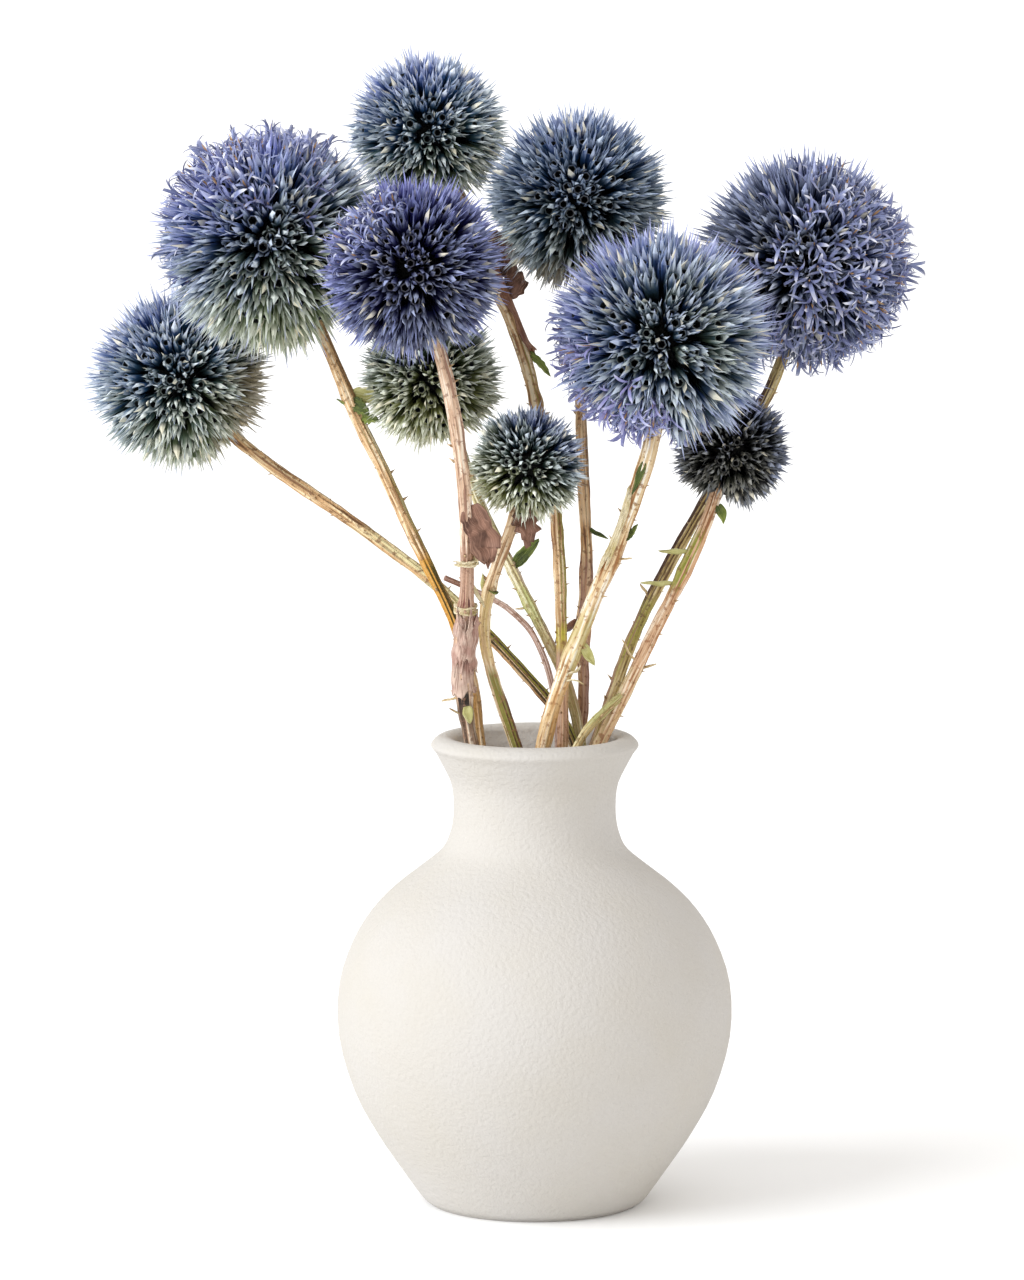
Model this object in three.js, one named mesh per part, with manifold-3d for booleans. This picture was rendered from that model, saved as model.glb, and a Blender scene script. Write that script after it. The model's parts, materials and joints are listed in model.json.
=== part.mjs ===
// Dried globe thistles standing in a matte stoneware vase: ten round heads, each on
// its own prickly stem, and one bare stalk that has lost its head.
//
// Millimetres, +Z up. The origin is the centre of the vase's foot, on the surface that
// it stands on. Seen along +Y, the bunch fans out along X.
import * as THREE from "three";
import { ConvexGeometry } from "three/addons/geometries/ConvexGeometry.js";
import { mergeVertices } from "three/addons/utils/BufferGeometryUtils.js";
import Module from "manifold-3d";

const wasm = await Module();
wasm.setup();

// ---- driving dimensions ------------------------------------------------------------
const GAP = 0.3; // left between two pieces that touch

// Vase: radius and height of the thrown wall's outside, from the foot to the lip
const VASE_OUTSIDE = [
  [27.5, 0.8],
  [28.9, 2],
  [34.5, 10],
  [41, 20],
  [46.7, 32],
  [49.8, 47],
  [48.1, 60],
  [43.5, 70],
  [38.2, 77],
  [31.3, 83],
  [24.7, 88],
  [21.9, 92],
  [20.5, 97],
  [20.5, 104],
  [22, 110],
  [23.8, 114],
];
// its inside, from the lip down to the floor
const VASE_INSIDE = [
  [18.2, 112],
  [17, 106],
  [16.6, 99],
  [18, 92],
  [22, 87],
  [31, 79],
  [40, 69],
  [44, 59],
  [45.4, 47],
  [42.6, 32],
  [37, 20],
  [31, 11.5],
  [27, 8],
];
const LIP_RADIUS = 22.6; // to the middle of the rolled lip
const LIP_HEIGHT = 115.9;
const LIP_HALF_WIDTH = 2.8;
const LIP_RISE = 2.6;
const FOOT_RADIUS = 26.6; // flat that the vase stands on
const FLOOR_HEIGHT = 6; // thickness of clay under the stems
const FLOOR_RADIUS = 22;
const VASE_SIDES = 36;
const OUTSIDE_STEPS = 16;
const INSIDE_STEPS = 9;
const LIP_STEPS = 6;

// Heads
const CORE_SHARE = 0.5; // round receptacle, as a share of the head's reach
const FLORETS_PER_MM2 = 0.041; // florets over the area of the sphere of the tips
const SHORTEST_FLORET = 0.87; // as a share of the head's reach
const FLORET_LEAN = 3; // most that a floret's tip stands off its radius
const WEDGE_MARGIN = 1.25; // by how much more it could lean and still miss its neighbours
const NECK_CLEARANCE = 1.2; // bare ring left round the stem where it enters the core

// Stems
const STEM_SIDES = 7;
const RING_SPACING = 9;
const SETTLE_SPACING = 6;
const SETTLE_ROUNDS = 160;
const EASED_ROUNDS = 120; // rounds in which the lines are eased as well as parted
const EASE = 0.12; // pull towards the middle of a point's neighbours
const RECALL = 0.06; // pull back towards the route
const STEM_CLEARANCE = 0.5; // between two stems that cross
const HEAD_CLEARANCE = 0.6; // between a stem and another stem's head
const WALL_CLEARANCE = 0.4; // more than the gap, between a stem and the curved wall
const BARK_ROUGHNESS = 0.07; // share by which the bark's radius wanders
const PRICKLE_SPACING = 13;
const PRICKLE = { length: 1.9, width: 1.1, thickness: 0.9, rise: 0.45 };
const LEAF_THICKNESS = 0.8;
const BARE_TOP = 0.1; // share of a stem under its head that has no prickles
const BARE_MOUTH = 6; // and the height above the lip that has none
const PRICKLE_SINK = 0.8; // how far a prickle's root goes into the bark, in stem radii
const TURNS_TRIED = 6; // ways round the stem that a prickle may grow
const SHARE_STEP = 0.002; // fineness of the search for a height on a stem

const COLOURS = {
  stoneware: 0xf0ece6,
  straw: 0xc2a67a,
  olive: 0x9a8f4e,
  brown: 0x9b7c66,
  pinkBrown: 0xbda193,
  violet: 0x5f68a8,
  indigo: 0x3f4290,
  blue: 0x4c6796,
  green: 0x6f8573,
  slate: 0x3a4560,
};

// Each head: its centre, and how far its outermost tips reach from there.
const HEADS = [
  { id: "01", at: [-27, 36, 268], reach: 20.6, colour: COLOURS.blue },
  { id: "02", at: [-65, 11, 243.5], reach: 29.4, colour: COLOURS.violet },
  { id: "03", at: [-30, -30, 236.5], reach: 23.2, colour: COLOURS.indigo },
  { id: "04", at: [-91, 42, 204.5], reach: 23.8, colour: COLOURS.blue },
  { id: "05", at: [-26, 8, 206.5], reach: 18.6, colour: COLOURS.green },
  { id: "06", at: [12.5, 22, 252], reach: 22.6, colour: COLOURS.blue },
  { id: "07", at: [29, -20, 220], reach: 26.6, colour: COLOURS.violet },
  { id: "08", at: [70, 26, 233], reach: 28.7, colour: COLOURS.violet },
  { id: "09", at: [-2.5, -12, 187.5], reach: 14.8, colour: COLOURS.green },
  { id: "10", at: [48.5, 4, 191], reach: 15.5, colour: COLOURS.slate },
];

// Each stem runs down from its head through the points of its route, then through the
// vase's neck to a foot on the floor. Radii are half its thickness at the top and foot.
const STEMS = [
  {
    id: "01",
    radii: [1.9, 1.25],
    colour: COLOURS.pinkBrown,
    route: [[-17, 35, 247], [-10.5, 33, 230], [-3, 27, 214], [0.5, 21, 200], [5.5, 11, 173],
      [6.5, 5, 152], [7, 1, 132], [7, -2, 116]],
    neck: [6.5, -3, 97],
    foot: [6, -10],
    leaves: [{ height: 208, turn: 0, length: 8, width: 3.2, rise: 0.5 }],
  },
  {
    id: "02",
    radii: [1.75, 1.25],
    colour: COLOURS.olive,
    route: [[-53.5, 10, 219], [-47.5, 9, 206], [-39, 8, 187], [-26, 5, 158.5], [-20.5, 4, 149.5],
      [-18.5, 3, 142], [-15.5, 3, 135], [-14, 2, 117]],
    neck: [-11.5, 3.5, 97],
    foot: [-2, 12],
    leaves: [{ height: 200, turn: 180, length: 4.5, width: 2.6, rise: 0.5 }],
  },
  {
    id: "03",
    radii: [1.9, 1.7],
    colour: COLOURS.pinkBrown,
    route: [[-22, -28, 213.5], [-19.5, -25, 200], [-17.5, -22, 185], [-16.5, -16, 164.5],
      [-17, -12, 153.5], [-18, -9, 142.5], [-18.5, -6, 131], [-16, -4, 117]],
    neck: [-12, -4.5, 97],
    foot: [-4, -2],
    // a papery sheath swells the stem between these heights
    sheath: { low: 122, high: 151, swell: 0.5 },
    leaves: [{ height: 128, turn: 200, length: 3.5, width: 1.4, rise: -0.4 }],
  },
  {
    id: "04",
    radii: [1.7, 1.35],
    colour: COLOURS.olive,
    route: [[-75, 38, 188], [-60, 32, 178], [-47, 27, 170], [-34, 22, 161], [-24, 18, 154],
      [-14, 12.5, 144.5], [-6.5, 9, 137.5], [4, 5.5, 126], [10.5, 4, 118]],
    neck: [13, 3, 97],
    foot: [18, 2],
    leaves: [],
  },
  {
    id: "05",
    radii: [1.6, 1.5],
    colour: COLOURS.straw,
    route: [[-18.5, 8, 189.5], [-15, 8, 177], [-6.5, 8, 161.5], [-2, 8, 151], [1.5, 8, 145.5],
      [7, 8, 134.5], [10, 8, 126.5], [12.5, 7.5, 116]],
    neck: [11, 8, 97],
    foot: [14, 13],
    leaves: [],
  },
  {
    id: "06",
    radii: [1.7, 1.5],
    colour: COLOURS.brown,
    route: [[12, 20, 228.5], [11.5, 16, 196], [12.5, 13.5, 175], [13.5, 11.5, 156],
      [12.5, 11.5, 150], [11.5, 11.5, 144], [12.5, 11.5, 132], [13, 11, 124], [12, 11, 115]],
    neck: [6, 12, 97],
    foot: [4, 17],
    leaves: [
      { height: 190, turn: -20, length: 6, width: 1.3, rise: 1.2 },
      { height: 165, turn: 0, length: 3.5, width: 1.6, rise: -0.4 },
    ],
  },
  {
    id: "07",
    radii: [2.2, 1.9],
    colour: COLOURS.straw,
    route: [[29.5, -18.5, 192], [26, -17.5, 185.5], [22, -15.5, 172], [19, -14, 164],
      [15.5, -13, 157], [10, -11, 142], [4.5, -9, 128.5], [2, -8, 117]],
    neck: [-1.5, -8.5, 97],
    foot: [-14, -4],
    leaves: [
      { height: 139, turn: -10, length: 5.5, width: 3, rise: 0.1 },
      { height: 182, turn: 170, length: 5, width: 2.2, rise: 0.7 },
    ],
  },
  {
    id: "08",
    radii: [1.7, 1.5],
    colour: COLOURS.brown,
    route: [[60, 26, 203], [54.5, 24.5, 193], [42.5, 20, 174.5], [33, 13.5, 158.5],
      [29, 10.5, 152], [24, 5.5, 141.5], [20, 1.5, 130], [15.5, -1.5, 117]],
    neck: [9.5, -6.5, 97],
    foot: [0, -17],
    leaves: [
      { height: 165, turn: 190, length: 4.5, width: 1.3, rise: 0.3 },
      { height: 156, turn: 190, length: 4.5, width: 1.3, rise: 0.3 },
    ],
  },
  {
    id: "09",
    radii: [1.6, 1.6],
    colour: COLOURS.straw,
    route: [[-5.5, -11, 171.5], [-9.5, -9, 163.5], [-12, -7, 156], [-14, -4, 147.5],
      [-14, -3, 143], [-11.5, -3, 135.5], [-9, -3.5, 129], [-5, -4, 117]],
    neck: [1, -2, 97],
    foot: [12, 5],
    leaves: [{ height: 170, turn: -60, length: 7, width: 5, rise: -0.6 }],
  },
  {
    id: "10",
    radii: [1.8, 1.7],
    colour: COLOURS.straw,
    route: [[44.5, 3, 175.5], [39, 2, 162.5], [29, 0, 143], [25.5, -1, 136.5],
      [23, -2, 130], [21, -2.5, 126], [16.5, -4.5, 117]],
    neck: [8, -11, 97],
    foot: [-7, -18],
    leaves: [{ height: 174, turn: 0, length: 5, width: 2.8, rise: 0.7 }],
    // the fork that crosses to the front of the mouth
    fork: { route: [[22, -3.5, 129], [18, -6, 126], [14, -9, 122.5], [10, -11, 117], [7, -11.5, 108]],
      radii: [1.2, 1.1] },
  },
];
// The bare stalk: a thin side twig that thickens where it turns down into the vase.
const BARE_STALK = {
  id: "bare",
  radii: [0.7, 1.4],
  colour: COLOURS.brown,
  route: [[-22.5, 1, 158], [-18.5, 3, 156], [-11, 5, 153], [-2, 6, 148.5], [2, 5, 140.5],
    [4.5, 4, 133.5], [6, 3.5, 126.5], [6.5, 3.5, 116]],
  neck: [5, 3.5, 97],
  foot: [-9, 8],
  leaves: [],
};

// ---- small helpers -------------------------------------------------------------------
function seededRandom(seed) {
  let state = seed * 2654435761 + 12345;
  return () => {
    state = (Math.imul(state ^ (state >>> 15), state | 1) + 0x6d2b79f5) | 0;
    const mixed = state ^ (state + Math.imul(state ^ (state >>> 7), state | 61));
    return ((mixed ^ (mixed >>> 14)) >>> 0) / 4294967296;
  };
}

function vector(point) {
  return new THREE.Vector3(...point);
}

function solidOf(geometry) {
  const bare = geometry.clone();
  bare.deleteAttribute("normal");
  bare.deleteAttribute("uv");
  const merged = mergeVertices(bare, 1e-4);
  return new wasm.Manifold(
    new wasm.Mesh({
      numProp: 3,
      vertProperties: merged.attributes.position.array,
      triVerts: new Uint32Array(merged.index.array),
    }),
  );
}

function geometryOf(solid) {
  const mesh = solid.getMesh();
  const geometry = new THREE.BufferGeometry();
  geometry.setAttribute("position", new THREE.BufferAttribute(mesh.vertProperties, 3));
  geometry.setIndex(new THREE.BufferAttribute(mesh.triVerts, 1));
  return geometry;
}

function namedMesh(name, geometry, colour, roughness) {
  const material = new THREE.MeshStandardMaterial({ color: colour, roughness, metalness: 0 });
  const mesh = new THREE.Mesh(geometry, material);
  mesh.name = name;
  return mesh;
}

// ---- vase ----------------------------------------------------------------------------
function profileThrough(points, steps) {
  return new THREE.SplineCurve(points.map(([r, z]) => new THREE.Vector2(r, z))).getPoints(steps);
}

function lipArc() {
  const points = [];
  for (let i = 0; i <= LIP_STEPS; i++) {
    const angle = (i / LIP_STEPS) * Math.PI;
    points.push(
      new THREE.Vector2(
        LIP_RADIUS + LIP_HALF_WIDTH * Math.cos(angle),
        LIP_HEIGHT + LIP_RISE * Math.sin(angle),
      ),
    );
  }
  return points;
}

function vaseGeometry() {
  const profile = [
    new THREE.Vector2(0, 0),
    new THREE.Vector2(FOOT_RADIUS, 0),
    ...profileThrough(VASE_OUTSIDE, OUTSIDE_STEPS),
    ...lipArc(),
    ...profileThrough(VASE_INSIDE, INSIDE_STEPS),
    new THREE.Vector2(FLOOR_RADIUS, FLOOR_HEIGHT),
    new THREE.Vector2(0, FLOOR_HEIGHT),
  ];
  // LatheGeometry turns about Y: stood up so that Y becomes Z
  return new THREE.LatheGeometry(profile, VASE_SIDES).rotateX(Math.PI / 2);
}

// Radius free for stems inside the vase at a height, or Infinity well above the lip.
function insideRadius(height) {
  if (height > LIP_HEIGHT + LIP_RISE + SETTLE_SPACING / 2) return Infinity;
  const wall = [[LIP_RADIUS - LIP_HALF_WIDTH, LIP_HEIGHT], ...VASE_INSIDE];
  if (height >= wall[0][1]) return wall[0][0];
  for (let i = 1; i < wall.length; i++) {
    const [upper, lower] = [wall[i - 1], wall[i]];
    if (height >= lower[1]) {
      return THREE.MathUtils.mapLinear(height, lower[1], upper[1], lower[0], upper[0]);
    }
  }
  return FLOOR_RADIUS;
}

// ---- stems ---------------------------------------------------------------------------
// The stem's own line: from just outside the head's core, straight out of the head,
// along the route and down to the foot.
function stemLine(stem, head) {
  const points = stem.route.map(vector);
  if (head) {
    const centre = vector(head.at);
    const outward = points[0].clone().sub(centre).normalize();
    const start = centre.clone().addScaledVector(outward, head.reach * CORE_SHARE + GAP);
    points.unshift(start);
  }
  points.push(vector(stem.neck));
  points.push(new THREE.Vector3(...stem.foot, FLOOR_HEIGHT + GAP));
  const curve = new THREE.CatmullRomCurve3(points, false, "centripetal");
  const steps = Math.round(curve.getLength() / SETTLE_SPACING);
  return curve.getSpacedPoints(steps);
}

function radiusAt(stem, share, height) {
  const plain = THREE.MathUtils.lerp(stem.radii[0], stem.radii[1], share);
  if (!stem.sheath) return plain;
  const { low, high, swell } = stem.sheath;
  const along = THREE.MathUtils.clamp((height - low) / (high - low), 0, 1);
  return plain * (1 + swell * Math.sin(along * Math.PI) ** 0.5);
}

function closestOnSegments(a, b, c, d) {
  const u = b.clone().sub(a);
  const v = d.clone().sub(c);
  const w = a.clone().sub(c);
  const uu = u.dot(u);
  const uv = u.dot(v);
  const vv = v.dot(v);
  const uw = u.dot(w);
  const vw = v.dot(w);
  const det = uu * vv - uv * uv;
  let s = det > 1e-9 ? THREE.MathUtils.clamp((uv * vw - vv * uw) / det, 0, 1) : 0.5;
  const t = THREE.MathUtils.clamp((uv * s + vw) / vv, 0, 1);
  s = THREE.MathUtils.clamp((uv * t - uw) / uu, 0, 1);
  return { s, t, apart: w.addScaledVector(u, s).addScaledVector(v, -t) };
}

// Two crossing stems are moved apart where they come closer than their bark allows.
function partStems(one, other) {
  for (let i = 0; i + 1 < one.line.length; i++) {
    for (let j = 0; j + 1 < other.line.length; j++) {
      const need = one.radius[i] + other.radius[j] + STEM_CLEARANCE;
      if (one.line[i].distanceTo(other.line[j]) > need + 2 * SETTLE_SPACING) continue;
      const [a, b] = [one.line[i], one.line[i + 1]];
      const [c, d] = [other.line[j], other.line[j + 1]];
      const { s, t, apart } = closestOnSegments(a, b, c, d);
      const distance = apart.length();
      if (distance >= need) continue;
      const push = apart.multiplyScalar((0.5 * (need - distance)) / Math.max(distance, 0.05));
      a.addScaledVector(push, 1 - s);
      b.addScaledVector(push, s);
      c.addScaledVector(push, t - 1);
      d.addScaledVector(push, -t);
    }
  }
}

function keepOffHeads(stem) {
  for (const head of HEADS) {
    if (head.id === stem.id) continue;
    const centre = vector(head.at);
    stem.line.forEach((point, i) => {
      const away = point.clone().sub(centre);
      const need = head.reach + stem.radius[i] + HEAD_CLEARANCE;
      if (away.length() < need) point.copy(centre).addScaledVector(away.normalize(), need);
    });
  }
}

function keepInsideVase(stem) {
  stem.line.forEach((point, i) => {
    const before = stem.line[Math.max(i - 1, 0)];
    const after = stem.line[Math.min(i + 1, stem.line.length - 1)];
    const run = Math.hypot(after.x - before.x, after.y - before.y);
    const slant = Math.hypot(1, run / Math.max(Math.abs(after.z - before.z), 1));
    const lean = stem.radius[i] * slant + GAP + WALL_CLEARANCE;
    const free = Math.min(insideRadius(point.z + 1), insideRadius(point.z - 1)) - lean;
    const out = Math.hypot(point.x, point.y);
    if (out > free) {
      point.x *= free / out;
      point.y *= free / out;
    }
  });
}

// Every line is eased towards the middle of its neighbours, so that no kink is left.
function easeLine(stem) {
  const old = stem.line.map((point) => point.clone());
  for (let i = 2; i < old.length - 1; i++) {
    const middle = old[i - 1].clone().add(old[i + 1]).multiplyScalar(0.5);
    stem.line[i].lerp(middle, EASE);
    stem.line[i].lerp(stem.wished[i], RECALL);
  }
}

function settleStems(stems) {
  for (let round = 0; round < SETTLE_ROUNDS; round++) {
    if (round < EASED_ROUNDS) stems.forEach(easeLine);
    for (let i = 0; i < stems.length; i++) {
      for (let j = i + 1; j < stems.length; j++) partStems(stems[i], stems[j]);
    }
    stems.forEach(keepOffHeads);
    stems.forEach(keepInsideVase);
    stems.forEach(seatFoot);
  }
}

// The cut end stands on the vase's floor: its lowest edge is a gap above the clay.
function seatFoot(stem) {
  const last = stem.line.length - 1;
  const [end, before] = [stem.line[last], stem.line[last - 1]];
  const lean = Math.hypot(end.x - before.x, end.y - before.y) / end.distanceTo(before);
  end.z = FLOOR_HEIGHT + GAP + stem.radius[last] * lean;
}

function laidStem(stem) {
  const head = HEADS.find(({ id }) => id === stem.id);
  const line = stemLine(stem, head);
  const radius = line.map((point, i) => radiusAt(stem, i / (line.length - 1), point.z));
  return { ...stem, line, radius, wished: line.map((point) => point.clone()) };
}

// A closed tube along a line, with a wandering radius and flat cut ends.
function barkTube(line, radiusOf, random, spacing) {
  const curve = new THREE.CatmullRomCurve3(line, false, "centripetal");
  const rings = Math.max(3, Math.round(curve.getLength() / spacing));
  const frames = curve.computeFrenetFrames(rings, false);
  const positions = [];
  const index = [];
  for (let i = 0; i <= rings; i++) {
    const share = i / rings;
    const centre = curve.getPointAt(share);
    // the cut ends keep their plain radius
    const wander = 1 + (i % rings === 0 ? 0 : BARK_ROUGHNESS * (2 * random() - 1));
    for (let k = 0; k < STEM_SIDES; k++) {
      const angle = ((k + 0.5 * (i % 2)) / STEM_SIDES) * 2 * Math.PI;
      const point = centre
        .clone()
        .addScaledVector(frames.normals[i], Math.cos(angle) * radiusOf(share, centre.z) * wander)
        .addScaledVector(frames.binormals[i], Math.sin(angle) * radiusOf(share, centre.z) * wander);
      positions.push(...point.toArray());
    }
  }
  for (let i = 0; i < rings; i++) {
    for (let k = 0; k < STEM_SIDES; k++) {
      const next = (k + 1) % STEM_SIDES;
      const [a, b] = [i * STEM_SIDES + k, i * STEM_SIDES + next];
      const [c, d] = [a + STEM_SIDES, b + STEM_SIDES];
      // odd rings are turned by half a side, so the diagonal alternates with them
      if (i % 2 === 0) index.push(a, b, c, b, d, c);
      else index.push(a, b, d, a, d, c);
    }
  }
  const first = positions.length / 3;
  positions.push(...curve.getPointAt(0).toArray(), ...curve.getPointAt(1).toArray());
  for (let k = 0; k < STEM_SIDES; k++) {
    const next = (k + 1) % STEM_SIDES;
    index.push(first, next, k);
    index.push(first + 1, rings * STEM_SIDES + k, rings * STEM_SIDES + next);
  }
  const geometry = new THREE.BufferGeometry();
  geometry.setAttribute("position", new THREE.Float32BufferAttribute(positions, 3));
  geometry.setIndex(index);
  return { geometry, curve };
}

// A slim four-sided spike along +Y, its root at the origin: a prickle or a leaf's stub.
function spike({ length, width, thickness = LEAF_THICKNESS }) {
  const cone = new THREE.ConeGeometry(Math.SQRT1_2, length, 4, 1);
  return cone.rotateY(Math.PI / 4).translate(0, length / 2, 0).scale(width, 1, thickness);
}

// The spike is stood on the stem at a share of its length, turned about it, and leant
// towards the head by its rise: 0 stands square to the bark.
function onStem(tube, radiusOf, { share, turn, rise, ...size }) {
  const at = tube.curve.getPointAt(share);
  const towardsHead = tube.curve.getTangentAt(share).negate();
  // the turn is counted from +X, seen from above
  const side = new THREE.Vector3(
    Math.cos(THREE.MathUtils.degToRad(turn)),
    Math.sin(THREE.MathUtils.degToRad(turn)),
    0,
  );
  side.addScaledVector(towardsHead, -side.dot(towardsHead)).normalize();
  const along = side.clone().addScaledVector(towardsHead, rise).normalize();
  const across = new THREE.Vector3().crossVectors(along, towardsHead).normalize();
  const face = new THREE.Vector3().crossVectors(across, along);
  const place = new THREE.Matrix4().makeBasis(across, along, face);
  place.setPosition(at.addScaledVector(side, radiusOf(share, at.z) * (1 - PRICKLE_SINK)));
  return solidOf(spike(size).applyMatrix4(place));
}

// A prickle or leaf that would reach a neighbouring stem or head is turned about its own
// stem until it is clear, and one that finds no room has not grown.
function clearOfRest(solid, stem, others) {
  const room = others.every((other) => other === stem || solid.minGap(other.bark, 1) > 2 * GAP);
  const { min, max } = solid.boundingBox();
  return room && HEADS.every(({ at, reach }) => {
    const nearest = vector(at).clamp(vector(min), vector(max));
    return nearest.distanceTo(vector(at)) > reach + GAP;
  });
}

function grownOn(stem, others, radiusOf, outgrowth) {
  for (let step = 0; step < TURNS_TRIED; step++) {
    const turn = outgrowth.turn + (360 * step) / TURNS_TRIED;
    const solid = onStem(stem.tube, radiusOf, { ...outgrowth, turn });
    if (clearOfRest(solid, stem, others)) return [solid];
  }
  return [];
}

function prickles(stem, random) {
  const count = Math.floor(stem.tube.curve.getLength() / PRICKLE_SPACING);
  const made = [];
  for (let i = 0; i < count; i++) {
    const share = BARE_TOP + ((0.98 - BARE_TOP) * (i + random())) / count;
    const turn = 360 * random();
    const length = PRICKLE.length * (0.8 + 0.5 * random());
    if (stem.tube.curve.getPointAt(share).z < LIP_HEIGHT + BARE_MOUTH) continue;
    made.push({ ...PRICKLE, length, share, turn });
  }
  return made;
}

// The share of a stem's length at which it comes down to a height.
function shareAtHeight(curve, height) {
  let share = 0;
  while (share < 1 && curve.getPointAt(share).z > height) share += SHARE_STEP;
  return share;
}

function stemSolid(stem, others, random) {
  const radiusOf = (share, height) => radiusAt(stem, share, height);
  const leaves = stem.leaves.map(({ height, ...leaf }) => {
    return { ...leaf, share: shareAtHeight(stem.tube.curve, height) };
  });
  return [...prickles(stem, random), ...leaves]
    .flatMap((outgrowth) => grownOn(stem, others, radiusOf, outgrowth))
    .reduce((solid, outgrowth) => solid.add(outgrowth), stem.bark);
}

function withBark(stem, random) {
  const radiusOf = (share, height) => radiusAt(stem, share, height);
  stem.tube = barkTube(stem.line, radiusOf, random, RING_SPACING);
  stem.bark = solidOf(stem.tube.geometry);
  if (!stem.fork) return;
  const { route, radii } = stem.fork;
  const forkRadius = (share) => THREE.MathUtils.lerp(radii[0], radii[1], share);
  const fork = barkTube(route.map(vector), forkRadius, random, SETTLE_SPACING);
  stem.bark = stem.bark.add(solidOf(fork.geometry));
}

// ---- heads ---------------------------------------------------------------------------
// Points spread evenly over a sphere, each turned by the golden angle from the last, as
// the florets of the head are.
function goldenSphere(count, radius) {
  const turn = Math.PI * (3 - Math.sqrt(5));
  return Array.from({ length: count }, (_, i) => {
    const height = 1 - (2 * (i + 0.5)) / count;
    const ring = Math.sqrt(1 - height * height);
    return new THREE.Vector3(ring * Math.cos(turn * i), ring * Math.sin(turn * i), height)
      .multiplyScalar(radius);
  });
}

// A floret keeps to its own wedge, which runs from the head's centre through its face, so
// no two florets cross.
function inWedge(point, sides) {
  return sides.every(([from, to]) => new THREE.Vector3().crossVectors(from, to).dot(point) > 0);
}

function floretTip(outward, length, sides, random) {
  const lean = new THREE.Vector3(random() - 0.5, random() - 0.5, random() - 0.5);
  lean.normalize().multiplyScalar(FLORET_LEAN * random());
  const straight = outward.clone().multiplyScalar(length);
  while (!inWedge(straight.clone().addScaledVector(lean, WEDGE_MARGIN), sides)) {
    lean.multiplyScalar(0.7);
  }
  return straight.add(lean).clampLength(0, length);
}

// The core is a many-faced ball, and each of its faces is raised into a pointed floret.
// Only the faces round the stem stay flat.
function headGeometry({ reach }, stemDirection, stemRadius, random) {
  const core = reach * CORE_SHARE;
  const florets = Math.round(FLORETS_PER_MM2 * 4 * Math.PI * reach * reach);
  const ball = new ConvexGeometry(goldenSphere(florets / 2 + 2, core));
  const corners = ball.getAttribute("position");
  const bareAngle = Math.asin((stemRadius + NECK_CLEARANCE) / core);
  const positions = [];
  for (let i = 0; i < corners.count; i += 3) {
    const [a, b, c] = [0, 1, 2].map((k) => new THREE.Vector3().fromBufferAttribute(corners, i + k));
    if ([a, b, c].some((corner) => corner.angleTo(stemDirection) < bareAngle)) {
      positions.push(...a.toArray(), ...b.toArray(), ...c.toArray());
      continue;
    }
    const outward = a.clone().add(b).add(c).normalize();
    const length = reach * (1 - (1 - SHORTEST_FLORET) * random() ** 1.5);
    const sides = [[a, b], [b, c], [c, a]];
    const tip = floretTip(outward, length, sides, random);
    for (const [from, to] of sides) {
      positions.push(...from.toArray(), ...to.toArray(), ...tip.toArray());
    }
  }
  const geometry = new THREE.BufferGeometry();
  geometry.setAttribute("position", new THREE.Float32BufferAttribute(positions, 3));
  return geometry;
}

function headMesh(head, stem) {
  const random = seededRandom(Number(head.id));
  const direction = stem.line[0].clone().sub(vector(head.at)).normalize();
  const geometry = headGeometry(head, direction, stem.radius[0], random);
  const mesh = namedMesh("head_" + head.id, geometry, head.colour, 0.85);
  mesh.position.set(...head.at);
  return mesh;
}

// ---- the bunch -----------------------------------------------------------------------
const bunch = new THREE.Group();
bunch.add(namedMesh("vase", vaseGeometry(), COLOURS.stoneware, 0.8));

const laid = [...STEMS, BARE_STALK].map(laidStem);
settleStems(laid);

laid.forEach((stem, i) => withBark(stem, seededRandom(50 + i)));

laid.forEach((stem, i) => {
  const solid = stemSolid(stem, laid, seededRandom(100 + i));
  const name = stem.id === "bare" ? "bare_stalk" : "stem_" + stem.id;
  bunch.add(namedMesh(name, geometryOf(solid), stem.colour, 0.8));
});

for (const head of HEADS) {
  const stem = laid.find(({ id }) => id === head.id);
  bunch.add(headMesh(head, stem));
}

export default bunch;
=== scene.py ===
"""Dried globe thistles in a matte stoneware vase: the looks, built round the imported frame.

Metres, +Z up, in the frame's own axes: the vase's foot stands on the floor at the origin and
the bunch fans out along X. Heads, stems and vase take their places from the frame's nodes.
"""

from __future__ import annotations

import json
import logging
import math
import random
from dataclasses import dataclass, field
from enum import Enum
from functools import cache
from typing import Any

import bmesh
import bpy
from mathutils import Matrix, Vector, noise
from mathutils.bvhtree import BVHTree

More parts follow.
